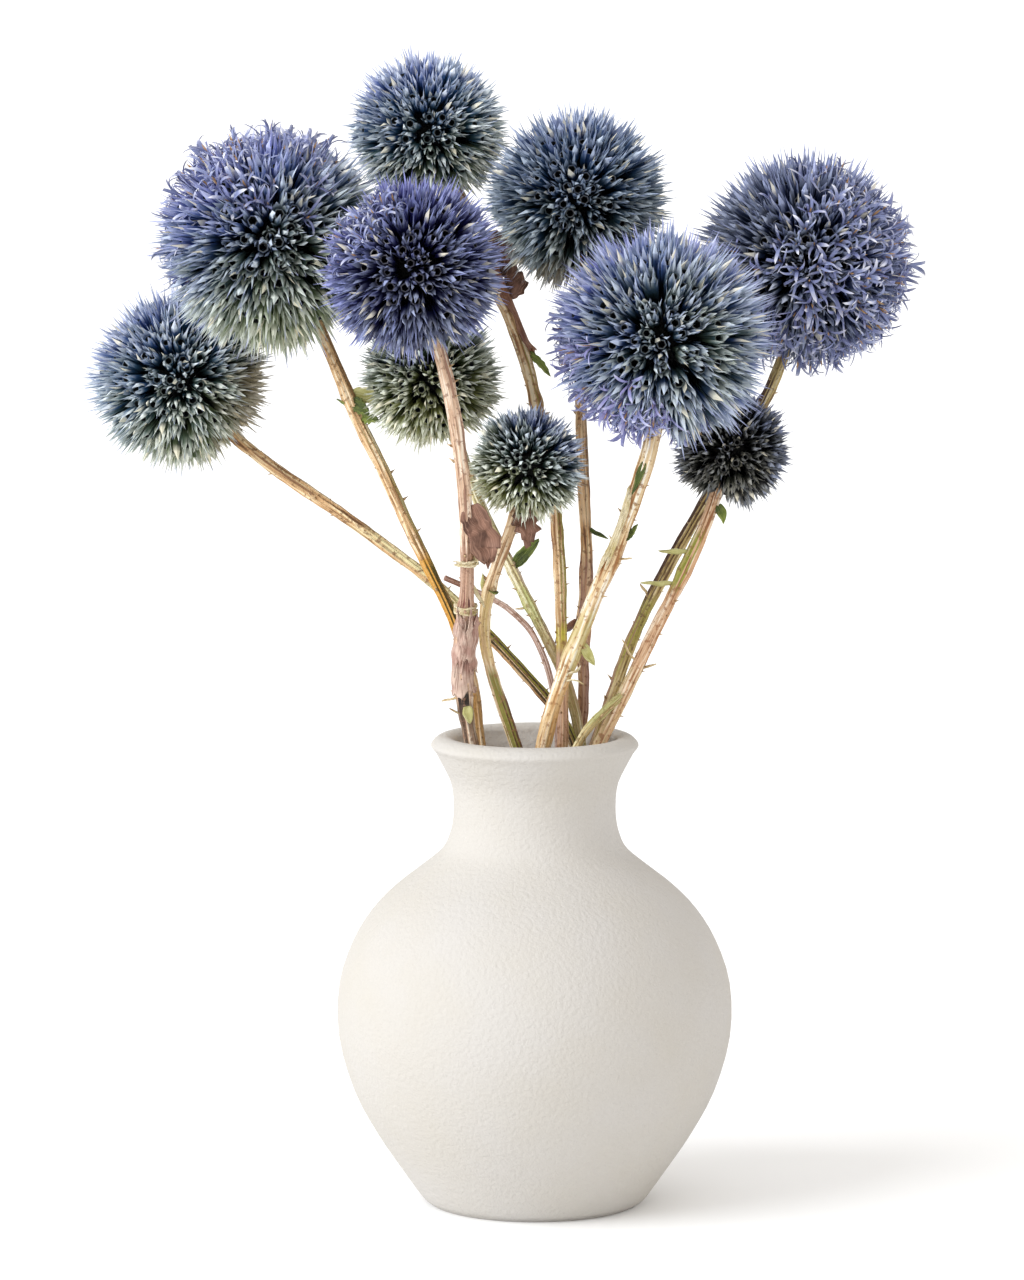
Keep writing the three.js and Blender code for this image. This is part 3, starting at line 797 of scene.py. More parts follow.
@dataclass(frozen=True)
class Involucre:
    """A closed floret: a plump open bud in two whorls of bracts, with needles between them."""

    whorls: tuple[Whorl, ...] = (
        Whorl(
            5,
            (
                Station(0.5, 0.5, 0.0),
                Station(0.72, 1.3, 1.6),
                Station(0.86, 1.5, 1.45),
                Station(0.99, 1.25, 0.0),
            ),
        ),
        Whorl(
            3,
            (
                Station(0.42, 0.4, 0.0),
                Station(0.6, 1.2, 1.5),
                Station(0.76, 1.8, 1.15),
                Station(0.9, 2.5, 0.0),
            ),
            0.4,
        ),
        Whorl(3, (Station(0.72, 1.1, 0.0), Station(0.92, 1.6, 0.6), Station(1.09, 2.3, 0.0)), 0.2),
    )
    bud: tuple[Station, ...] = (Station(0.52, 0.6, 0.0), Station(0.7, 1.25, 0.0), Station(0.84, 1.2, 0.0))
    bud_tip: float = 0.72
    bud_sides: int = 6
    lean: float = 1.2

    def build(self, name: str, seed: int) -> bpy.types.Object:
        """Builds one floret along +Z, as long as 1 and in metres across.

        Args:
            name: the object's name.
            seed: sets its chance bends.

        Returns:
            The floret, outside the scene.
        """
        chance = random.Random(seed)
        made = Slivers(("along", "margin", "sliver"))
        lean = Vector((chance.uniform(-1, 1), chance.uniform(-1, 1), 0)) * self.lean * MM

        def leant(point: Vector) -> Vector:
            """A point moved with the floret's bend."""
            return point + lean * max(0.0, point.z - 0.4) / 0.6

        rings = [([leant(Vector((0, 0, 0.36)))], [dict(along=0.36)])]
        for station in self.bud:
            angles = [2 * math.pi * k / self.bud_sides for k in range(self.bud_sides)]
            points = [leant(wayward(a)[0] * station.out * MM + Vector((0, 0, station.along))) for a in angles]
            rings.append((points, [dict(along=station.along, sliver=0.35)] * self.bud_sides))
        # the bud's top carries a low along, so the painted root shade makes it near-black inside the mouth
        rim = [point.lerp(leant(Vector((0, 0, point.z))), 0.25) for point in rings[-1][0]]
        rings.append((rim, [dict(along=0.55)] * self.bud_sides))
        rings.append(([leant(Vector((0, 0, self.bud_tip)))], [dict(along=0.5)]))
        made.sliver(rings)
        for whorl in self.whorls:
            for k in range(whorl.count):
                angle = 2 * math.pi * (k + whorl.turn + chance.uniform(-0.2, 0.2)) / whorl.count
                out, across = wayward(angle)
                slip = chance.uniform(-0.06, 0.02)
                broad = chance.uniform(0.75, 1.15)
                spread = chance.uniform(0.7, 1.5)
                sideways = chance.uniform(-0.7, 0.7) * MM
                spine = []
                for station in whorl.stations:
                    late = max(0.0, station.along - 0.8) / 0.2
                    along = station.along + (slip if station.width < 1.3 else 0.0)
                    stand = station.out * (1 + (spread - 1) * late) * MM
                    at = out * stand + across * sideways * late + Vector((0, 0, along))
                    spine.append((leant(at), out, across, station.width * broad * MM, along))
                made.keeled(spine, sliver=chance.random())
        return made.as_object(name)


@dataclass(frozen=True)
class Corolla:
    """An open flower: a slim tube with five narrow curling petals and a style."""

    petals: int = 5
    petal_mm: float = 6.4
    width_mm: float = 0.85
    tube_low: float = 0.6
    tube_high: float = 0.84
    tube_mm: float = 0.55
    reach_mm: float = 28.0  # of the head that the shares along are worked out for
    stations: int = 7
    lean: float = 1.1

    def build(self, name: str, seed: int) -> bpy.types.Object:
        """Builds one corolla along +Z, as long as 1 and in metres across.

        Args:
            name: the object's name.
            seed: sets how its petals curl.

        Returns:
            The corolla, outside the scene.
        """
        chance = random.Random(seed)
        made = Slivers(("along", "margin", "sliver", "anther"))
        lean = Vector((chance.uniform(-1, 1), chance.uniform(-1, 1), 0)) * self.lean * MM
        mouth = self.tube_high + chance.uniform(-0.05, 0.02)
        sides = [2 * math.pi * k / 5 for k in range(5)]
        rings = [([Vector((0, 0, self.tube_low))], [dict(along=0.0)])]
        for along, out in ((mouth - 0.1, 0.7 * self.tube_mm), (mouth, self.tube_mm)):
            points = [wayward(a)[0] * out * MM + lean + Vector((0, 0, along)) for a in sides]
            rings.append((points, [dict(along=0.15)] * 5))
        rings.append(([lean + Vector((0, 0, mouth - 0.03))], [dict(along=0.0)]))
        made.sliver(rings)
        for k in range(self.petals):
            self._petal(made, chance, 2 * math.pi * (k + chance.uniform(-0.25, 0.25)) / self.petals, mouth, lean)
        self._style(made, chance, mouth, lean)
        return made.as_object(name)

    def _petal(self, made: Slivers, chance: random.Random, angle: float, mouth: float, lean: Vector) -> None:
        """Adds one curling petal."""
        out, across = wayward(angle)
        length = self.petal_mm * chance.uniform(0.75, 1.15)
        opening = math.radians(chance.uniform(0, 40))
        curl = math.radians(chance.choice((20, 50, 90, 140, 190, 240, 300)) + chance.uniform(-15, 15))
        sweep = math.radians(chance.choice((-110, -50, -15, 15, 50, 110)))
        width = self.width_mm * chance.uniform(0.7, 1.1)
        stand, rise, drift = 0.3, 0.0, 0.0
        spine = []
        step = length / self.stations
        for i in range(self.stations + 1):
            share = i / self.stations
            bend = opening + curl * share**1.5
            aside = sweep * share**1.2
            at = (out * stand + across * drift) * MM + lean
            at.z = min(mouth - 0.02 + rise / self.reach_mm, 1.0)
            # the petal's outer face turns with the curl
            back = out * math.cos(bend) * MM
            back.z = -math.sin(bend) / self.reach_mm
            shape = 0.0 if share in (0, 1) else 0.62 + 0.38 * math.sin(math.pi * share)
            spine.append((at, back * 0.8 / MM, across, width * shape * MM, share))
            stand += step * math.sin(bend) * math.cos(aside)
            drift += step * math.sin(aside) * 0.8
            rise += step * math.cos(bend)
        made.keeled(spine, sliver=chance.random())

    def _style(self, made: Slivers, chance: random.Random, mouth: float, lean: Vector) -> None:
        """Adds the style that stands in the mouth."""
        top = min(mouth + chance.uniform(0.06, 0.14), 1.0)
        aside = Vector((chance.uniform(-0.6, 0.6), chance.uniform(-0.6, 0.6), 0)) * MM + lean
        points = [wayward(2 * math.pi * k / 3)[0] * 0.28 * MM + aside for k in range(3)]
        middle = [p + Vector((0, 0, (mouth + top) / 2)) for p in points]
        made.sliver(
            [
                ([lean + Vector((0, 0, mouth - 0.05))], [dict(anther=0.4)]),
                (middle, [dict(anther=0.8)] * 3),
                ([aside + Vector((0, 0, top))], [dict(anther=1.0)]),
            ]
        )


@dataclass(frozen=True)
class Bloom:
    """How a head has ripened. Directions are seen from its centre."""

    ripe: tuple[float, float, float]
    level: float = 0.5
    spread: float = 0.4
    opened: tuple[float, float, float] = (0.0, 0.0, 1.0)
    open_from: float = 9.0
    open_scatter: float = 0.3
    wither: tuple[float, float, float] = (0.0, 0.0, -1.0)
    wither_from: float = 2.0


class FloretTree:
    """The Geometry Nodes tree that stands florets on a head by the golden angle."""

    SOCKETS = {
        "Florets": "Collection",
        "Kinds": "Int",
        "Count": "Int",
        "Centre": "Vector",
        "Reach": "Float",
        "Shortest": "Float",
        "Across": "Float",
        "Open Length": "Float",
        "Stem Axis": "Vector",
        "Bare Cosine": "Float",
        "Ripe Axis": "Vector",
        "Ripe Level": "Float",
        "Ripe Spread": "Float",
        "Open Axis": "Vector",
        "Open From": "Float",
        "Open Scatter": "Float",
        "Wither Axis": "Vector",
        "Wither From": "Float",
        "Only Open": "Bool",
        "Core": "Float",
        "Finish": "Material",
        "Core Finish": "Material",
        "Seed": "Int",
    }

    def __init__(self) -> None:
        """Builds the tree."""
        self.tree, self.g, self.given = tree_with("Florets on a head", self.SOCKETS)
        points = self._places()
        florets = self._stood(points)
        self._finished(florets)

    def _chance(self, low: float, high: float, salt: int) -> bpy.types.NodeSocket:
        """A number by chance for each floret, set by the seed and a salt."""
        seed = self.g.add("ShaderNodeMath", {0: self.given["Seed"], 1: float(salt)}, operation="ADD")
        return self.g.add(
            "FunctionNodeRandomValue", {"Min_001": low, "Max_001": high, "Seed": seed}, out="Value_001"
        )

    def _stored(self, points: Any, name: str, value: Any, kind: str = "FLOAT") -> bpy.types.NodeSocket:
        """The points with a named value on each."""
        return self.g.add(
            "GeometryNodeStoreNamedAttribute",
            {"Geometry": points, "Name": name, "Value": value},
            data_type=kind,
            domain="POINT",
        )

    def _facing(self, way: Any, axis: str) -> bpy.types.NodeSocket:
        """How far a direction faces along a named axis, from -1 to 1."""
        unit = self.g.add("ShaderNodeVectorMath", {0: self.given[axis]}, operation="NORMALIZE")
        return self.g.add("ShaderNodeVectorMath", {0: way, 1: unit}, out="Value", operation="DOT_PRODUCT")

    def _places(self) -> bpy.types.NodeSocket:
        """Points that carry each floret's direction, age, tone and whether it has opened."""
        g, given = self.g, self.given
        line = g.add("GeometryNodeMeshLine", {"Count": given["Count"], "Offset": (0, 0, 0)})
        index = g.add("GeometryNodeInputIndex")
        odd = g.add("ShaderNodeMath", {0: index, 1: 2.0, 2: 1.0}, operation="MULTIPLY_ADD")
        down = g.add("ShaderNodeMath", {0: odd, 1: given["Count"]}, operation="DIVIDE")
        height = g.add("ShaderNodeMath", {0: 1.0, 1: down}, operation="SUBTRACT")
        squared = g.add("ShaderNodeMath", {0: height, 1: height}, operation="MULTIPLY")
        rest = g.add("ShaderNodeMath", {0: 1.0, 1: squared}, operation="SUBTRACT")
        ring = g.add("ShaderNodeMath", {0: rest}, operation="SQRT")
        turn = g.add("ShaderNodeMath", {0: index, 1: GOLDEN_TURN}, operation="MULTIPLY")
        cosine = g.add("ShaderNodeMath", {0: turn}, operation="COSINE")
        sine = g.add("ShaderNodeMath", {0: turn}, operation="SINE")
        x = g.add("ShaderNodeMath", {0: ring, 1: cosine}, operation="MULTIPLY")
        y = g.add("ShaderNodeMath", {0: ring, 1: sine}, operation="MULTIPLY")
        way = g.add("ShaderNodeCombineXYZ", {"X": x, "Y": y, "Z": height})
        stray = [self._chance(-0.06, 0.06, salt) for salt in (1, 2, 3)]
        stray = g.add("ShaderNodeCombineXYZ", {"X": stray[0], "Y": stray[1], "Z": stray[2]})
        way = g.add("ShaderNodeVectorMath", {0: way, 1: stray}, operation="ADD")
        way = g.add("ShaderNodeVectorMath", {0: way}, operation="NORMALIZE")
        points = self._stored(line, "way", way, "FLOAT_VECTOR")

        ripe = g.add(
            "ShaderNodeMath",
            {0: self._facing(way, "Ripe Axis"), 1: given["Ripe Spread"], 2: given["Ripe Level"]},
            operation="MULTIPLY_ADD",
        )
        points = self._stored(points, "age", ripe)
        points = self._stored(points, "tone", self._chance(0.0, 1.0, 4))
        ragged = g.add("ShaderNodeMath", {0: self._chance(-1.0, 1.0, 5), 1: given["Open Scatter"]}, operation="MULTIPLY")
        opening = g.add("ShaderNodeMath", {0: self._facing(way, "Open Axis"), 1: ragged}, operation="ADD")
        opened = g.add("ShaderNodeMath", {0: opening, 1: given["Open From"]}, operation="GREATER_THAN")
        points = self._stored(points, "opened", opened)
        dry = g.add("ShaderNodeMath", {0: self._facing(way, "Wither Axis"), 1: self._chance(-0.15, 0.15, 6)}, operation="ADD")
        dry_full = g.add("ShaderNodeMath", {0: given["Wither From"], 1: 0.35}, operation="ADD")
        wither = g.add(
            "ShaderNodeMapRange", {"Value": dry, "From Min": given["Wither From"], "From Max": dry_full}
        )
        points = self._stored(points, "wither", wither)
        grown_to = self._chance(0.0, 1.0, 7)
        grown_to = g.add("ShaderNodeMath", {0: grown_to, 1: 1.6}, operation="POWER")
        grown_to = g.add(
            "ShaderNodeMapRange", {"Value": grown_to, "To Min": 1.0, "To Max": given["Shortest"]}
        )
        shut = g.add("ShaderNodeMath", {0: given["Open Length"], 1: -1.0}, operation="ADD")
        shorter = g.add("ShaderNodeMath", {0: opened, 1: shut, 2: 1.0}, operation="MULTIPLY_ADD")
        grown_to = g.add("ShaderNodeMath", {0: grown_to, 1: shorter}, operation="MULTIPLY")
        points = self._stored(points, "grown_to", grown_to)
        points = self._stored(points, "spin", self._chance(0.0, 2 * math.pi, 8))
        bare = g.add(
            "ShaderNodeMath", {0: self._facing(way, "Stem Axis"), 1: given["Bare Cosine"]}, operation="GREATER_THAN"
        )
        points = self._stored(points, "bare", bare)
        return points

    def _named(self, name: str, kind: str = "FLOAT") -> bpy.types.NodeSocket:
        """A named value that the points carry."""
        return self.g.add("GeometryNodeInputNamedAttribute", {"Name": name}, out="Attribute", data_type=kind)

    def _stood(self, points: Any) -> bpy.types.NodeSocket:
        """Florets stood on the points that are wanted."""
        g, given = self.g, self.given
        points = g.add(
            "GeometryNodeDeleteGeometry", {"Geometry": points, "Selection": self._named("bare")}, domain="POINT"
        )
        # where only open flowers are wanted, the closed ones are left out
        closed = g.add("ShaderNodeMath", {0: 1.0, 1: self._named("opened")}, operation="SUBTRACT")
        left_out = g.add("ShaderNodeMath", {0: closed, 1: given["Only Open"]}, operation="MULTIPLY")
        points = g.add("GeometryNodeDeleteGeometry", {"Geometry": points, "Selection": left_out}, domain="POINT")
        points = g.add("GeometryNodeSetPosition", {"Geometry": points, "Position": given["Centre"]})
        florets = g.add("GeometryNodeCollectionInfo", {"Collection": given["Florets"], "Separate Children": True})
        way = self._named("way", "FLOAT_VECTOR")
        facing = g.add("FunctionNodeAlignRotationToVector", {"Vector": way}, axis="Z")
        spin = g.add("FunctionNodeAxisAngleToRotation", {"Axis": (0, 0, 1), "Angle": self._named("spin")})
        facing = g.add(
            "FunctionNodeRotateRotation", {"Rotation": facing, "Rotate By": spin}, rotation_space="LOCAL"
        )
        length = g.add("ShaderNodeMath", {0: self._named("grown_to"), 1: given["Reach"]}, operation="MULTIPLY")
        across = g.add("ShaderNodeMath", {0: given["Across"], 1: self._chance(0.85, 1.15, 9)}, operation="MULTIPLY")
        size = g.add("ShaderNodeCombineXYZ", {"X": across, "Y": across, "Z": length})
        last = g.add("ShaderNodeMath", {0: given["Kinds"], 1: 1.0}, operation="SUBTRACT")
        kind = g.add(
            "FunctionNodeRandomValue",
            {"Min_002": 0, "Max_002": last, "Seed": given["Seed"]},
            out="Value_002",
            data_type="INT",
        )
        return g.add(
            "GeometryNodeInstanceOnPoints",
            {
                "Points": points,
                "Instance": florets,
                "Pick Instance": True,
                "Instance Index": kind,
                "Rotation": facing,
                "Scale": size,
            },
        )

    def _finished(self, florets: Any) -> None:
        """The florets and the core between them, whose near-black is painted shade, made real and given their
        materials.
        """
        g, given = self.g, self.given
        real = g.add("GeometryNodeRealizeInstances", {"Geometry": florets})
        real = g.add("GeometryNodeSetMaterial", {"Geometry": real, "Material": given["Finish"]})
        core = g.add("GeometryNodeMeshIcoSphere", {"Radius": given["Core"], "Subdivisions": 4})
        core = g.add("GeometryNodeSetPosition", {"Geometry": core, "Offset": given["Centre"]})
        core = g.add("GeometryNodeSetMaterial", {"Geometry": core, "Material": given["Core Finish"]})
        # a head of open flowers alone has no core of its own
        has_core = g.add("ShaderNodeMath", {0: given["Core"], 1: 0.0}, operation="GREATER_THAN")
        core = g.add("GeometryNodeSwitch", {"Switch": has_core, "True": core}, out="Output")
        joined = g.add("GeometryNodeJoinGeometry", {"Geometry": core})
        g.tree.links.new(real, joined.node.inputs[0])
        g.add("NodeGroupOutput", {"Geometry": joined})


@dataclass
class FloretStock:
    """The kinds of floret that every head picks from."""

    involucres: int = 6
    corollas: int = 7

    def __post_init__(self) -> None:
        """Builds the florets and the tree that stands them on a head."""
        self.closed = self._gathered("involucre", Involucre(), self.involucres, 10)
        self.open = self._gathered("corolla", Corolla(), self.corollas, 40)
        self.tree = FloretTree().tree

    @staticmethod
    def _gathered(name: str, kind: Involucre | Corolla, count: int, seed: int) -> bpy.types.Collection:
        """A collection of that many florets of one kind."""
        stock = bpy.data.collections.new(name)
        for i in range(count):
            stock.objects.link(kind.build(f"{name}_{i}", seed + i))
        return stock

    def clear(self) -> None:
        """Removes the stock once every head has been grown."""
        for stock in (self.closed, self.open):
            for kind in list(stock.objects):
                bpy.data.objects.remove(kind)
            bpy.data.collections.remove(stock)


@dataclass
class ThistleHead:
    """One globe of florets on its stem."""

    number: str
    slot: Slot
    bracts: BractFinish
    petals: PetalFinish
    bloom: Bloom
    florets_per_mm2: float = 0.038
    shortest: float = 0.88
    open_length: float = 0.9
    core_share: float = 0.4
    bare_mm: float = 2.6
    usual_reach_mm: float = 26.0
    swell: float = 1.05  # the fine points stand this much beyond the solid
    shift_mm: tuple[float, float, float] = (0.0, 0.0, 0.0)

    def build(self, stock: FloretStock, line: StemLine) -> None:
        """Grows the head where its solid is and declares its pieces.

        Args:
            stock: the florets to pick from.
            line: the stem that carries it.
        """
        node = "head_" + self.number
        low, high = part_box(node)
        centre = (low + high) / 2 + Vector(self.shift_mm) * MM
        reach = max(high - low) / 2 * self.swell
        across = (reach / (self.usual_reach_mm * MM)) ** 0.5
        area = 4 * math.pi * (reach / MM) ** 2
        shared = {
            "Count": round(self.florets_per_mm2 / across * area),
            "Centre": centre,
            "Reach": reach,
            "Shortest": self.shortest,
            "Across": across,
            "Stem Axis": (line.points[-1] - centre).normalized(),
            "Bare Cosine": math.cos(math.asin(self.bare_mm * MM / (reach * self.core_share))),
            "Ripe Axis": self.bloom.ripe,
            "Ripe Level": self.bloom.level,
            "Ripe Spread": self.bloom.spread,
            "Open Axis": self.bloom.opened,
            "Open From": self.bloom.open_from,
            "Open Scatter": self.bloom.open_scatter,
            "Wither Axis": self.bloom.wither,
            "Wither From": self.bloom.wither_from,
            "Seed": int(self.number) * 100,
            "Core Finish": SHADED_CORE.material(),
        }
        closed = {
            "Florets": stock.closed,
            "Kinds": stock.involucres,
            "Open Length": self.open_length,
            "Only Open": False,
            "Core": reach * self.core_share,
            "Finish": self.bracts.material(),
        }
        bracts = grown(node + "_bracts", bpy.data.meshes.new("none"), stock.tree, shared | closed)
        declare(bracts, self.slot.value, node)
        if self.bloom.open_from > 1.5:
            return
        opened = {
            "Florets": stock.open,
            "Kinds": stock.corollas,
            "Open Length": 1.0,
            "Only Open": True,
            "Core": 0.0,
            "Finish": self.petals.material(),
        }
        petals = grown(node + "_petals", bpy.data.meshes.new("none"), stock.tree, shared | opened)
        declare(petals, self.slot.value, node)


# ---- stems -------------------------------------------------------------------------------


@dataclass
class StemLine:
    """A stem's own line, from its foot up to its head, with its radius at each point."""

    points: list[Vector]
    radii: list[float]

    STEP = 3 * MM
    RAYS = 16
    MIDDLE = 60 * MM  # a height at which every stem is a single plain tube
    CORNER_SHARE = 0.95  # of the radius, at which a ray meets the faceted bark on average

    @classmethod
    def of_node(cls, name: str) -> StemLine:
        """Feels its way along the inside of a stem's solid, up and down from inside the vase.

        Args:
            name: the stem's node.

        Returns:
            The stem's line.
        """
        corners, bark = cls._solid(name)
        mesh = frame["nodes"][name].data
        crossings = []
        for face in mesh.polygons:
            around = [corners[i] for i in face.vertices]
            for a, b in zip(around, around[1:] + around[:1]):
                if (a.z - cls.MIDDLE) * (b.z - cls.MIDDLE) < 0:
                    crossings.append(a.lerp(b, (cls.MIDDLE - a.z) / (b.z - a.z)))
        start = sum(crossings, Vector()) / len(crossings)
        up = cls._walk(bark, start, Vector((0, 0, 1)))
        down = cls._walk(bark, start, Vector((0, 0, -1)))
        walked = down[::-1] + up[1:]
        line = cls([p for p, _ in walked], [r for _, r in walked])
        line._ease()
        return line

    @staticmethod
    def _solid(name: str) -> tuple[list[Vector], BVHTree]:
        """A node's corners, and its surface to cast rays at."""
        mesh = frame["nodes"][name].data
        corners = [v.co.copy() for v in mesh.vertices]
        return corners, BVHTree.FromPolygons(corners, [tuple(p.vertices) for p in mesh.polygons])

    def fork(self, name: str, low_mm: float, high_mm: float) -> StemLine:
        """Feels its way up a side branch that hangs down beside this line.

        Args:
            name: the stem's node.
            low_mm: the height near which the branch ends.
            high_mm: a height above its joint with this line.

        Returns:
            The branch's line, from its end up to this line.
        """
        corners, bark = self._solid(name)
        apart = [c for c in corners if c.z < high_mm * MM and self.clear_of(c) > 1.4 * MM and c.z > low_mm * MM]
        end = min(c.z for c in apart)
        tip = [c for c in apart if c.z < end + 1.5 * MM]
        above = [c for c in apart if end + 5 * MM < c.z < end + 8 * MM]
        start, ahead = (sum(group, Vector()) / len(group) for group in (tip, above))
        way = (ahead - start).normalized()
        walked = self._walk(bark, start + way * MM, way, self)
        walked.insert(0, (start, walked[0][1]))
        branch = StemLine([p for p, _ in walked], [r for _, r in walked])
        branch._ease()
        return branch

    def clear_of(self, point: Vector) -> float:
        """How far a point stands off this line's surface."""
        at, _, radius = self.at_height(point.z / MM)
        return (point - at).length - radius

    @classmethod
    def _walk(
        cls, bark: BVHTree, at: Vector, way: Vector, onto: StemLine | None = None
    ) -> list[tuple[Vector, float]]:
        """Centres and radii met on the way along the inside of the bark.

        Args:
            bark: the surface.
            at: where to begin.
            way: the way to go.
            onto: a line to stop in, for a branch.

        Returns:
            The centres and radii up to the cut end, or up to the other line.
        """
        found = []
        while len(found) < 200:
            centred = cls._centred(bark, at, way)
            if centred is None:
                return found
            if onto is not None and onto.clear_of(centred[0]) < 0:
                found.append((onto.at_height(centred[0].z / MM + 1.5)[0], found[-1][1]))
                return found
            if found:
                way = (way + (centred[0] - found[-1][0]).normalized()).normalized()
            found.append(centred)
            wall, normal, _, distance = bark.ray_cast(centred[0], way, cls.STEP * 1.5)
            if wall is not None and abs(normal.dot(way)) > 0.85:
                found.append((wall, centred[1]))
                return found
            step = cls.STEP if wall is None else max(distance * 0.5, 0.5 * MM)
            at = centred[0] + way * step
        return found

    @classmethod
    def _centred(cls, bark: BVHTree, at: Vector, way: Vector) -> tuple[Vector, float] | None:
        """The tube's centre and radius square to its way, or None outside the bark."""
        side = way.orthogonal().normalized()
        over = way.cross(side)
        spokes = [
            side * math.cos(2 * math.pi * k / cls.RAYS) + over * math.sin(2 * math.pi * k / cls.RAYS)
            for k in range(cls.RAYS)
        ]
        middle = 0.0
        for _ in range(4):
            reach = [bark.ray_cast(at, spoke, 9 * MM)[3] for spoke in spokes]
            if sum(r is not None for r in reach) < cls.RAYS * 0.7:
                return None
            middle = sorted(r for r in reach if r is not None)[cls.RAYS // 3]
            # a leaf or a fork that opens off the tube doesn't pull its centre aside
            clipped = [min(r if r is not None else middle, middle * 1.3) for r in reach]
            at = at + sum((s * r for s, r in zip(spokes, clipped)), Vector()) * (2 / cls.RAYS)
        return at, middle / cls.CORNER_SHARE

    def _ease(self) -> None:
        """Evens out the line and its radii between neighbours; both ends stay."""
        for _ in range(2):
            points, radii = self.points[:], self.radii[:]
            for i in range(1, len(points) - 1):
                self.points[i] = (points[i - 1] + points[i] * 2 + points[i + 1]) / 4
                self.radii[i] = (radii[i - 1] + radii[i] * 2 + radii[i + 1]) / 4

    def at_height(self, height_mm: float) -> tuple[Vector, Vector, float]:
        """The line's point, its way up and its radius at a height."""
        height = height_mm * MM
        for i in range(len(self.points) - 1, 0, -1):
            low, high = self.points[i - 1], self.points[i]
            if low.z <= height <= high.z or i == 1:
                share = min(max((height - low.z) / max(high.z - low.z, 1e-9), 0.0), 1.0)
                radius = self.radii[i - 1] + (self.radii[i] - self.radii[i - 1]) * share
                return low.lerp(high, share), (high - low).normalized(), radius
        return self.points[0], Vector((0, 0, 1)), self.radii[0]

    def outward(self, height_mm: float, turn: float) -> tuple[Vector, Vector, Vector, float]:
        """The line's point, the way out at a turn in degrees from +X, the way up and the radius."""
        at, up, radius = self.at_height(height_mm)
        way = Vector((math.cos(math.radians(turn)), math.sin(math.radians(turn)), 0))
        return at, (way - up * way.dot(up)).normalized(), up, radius


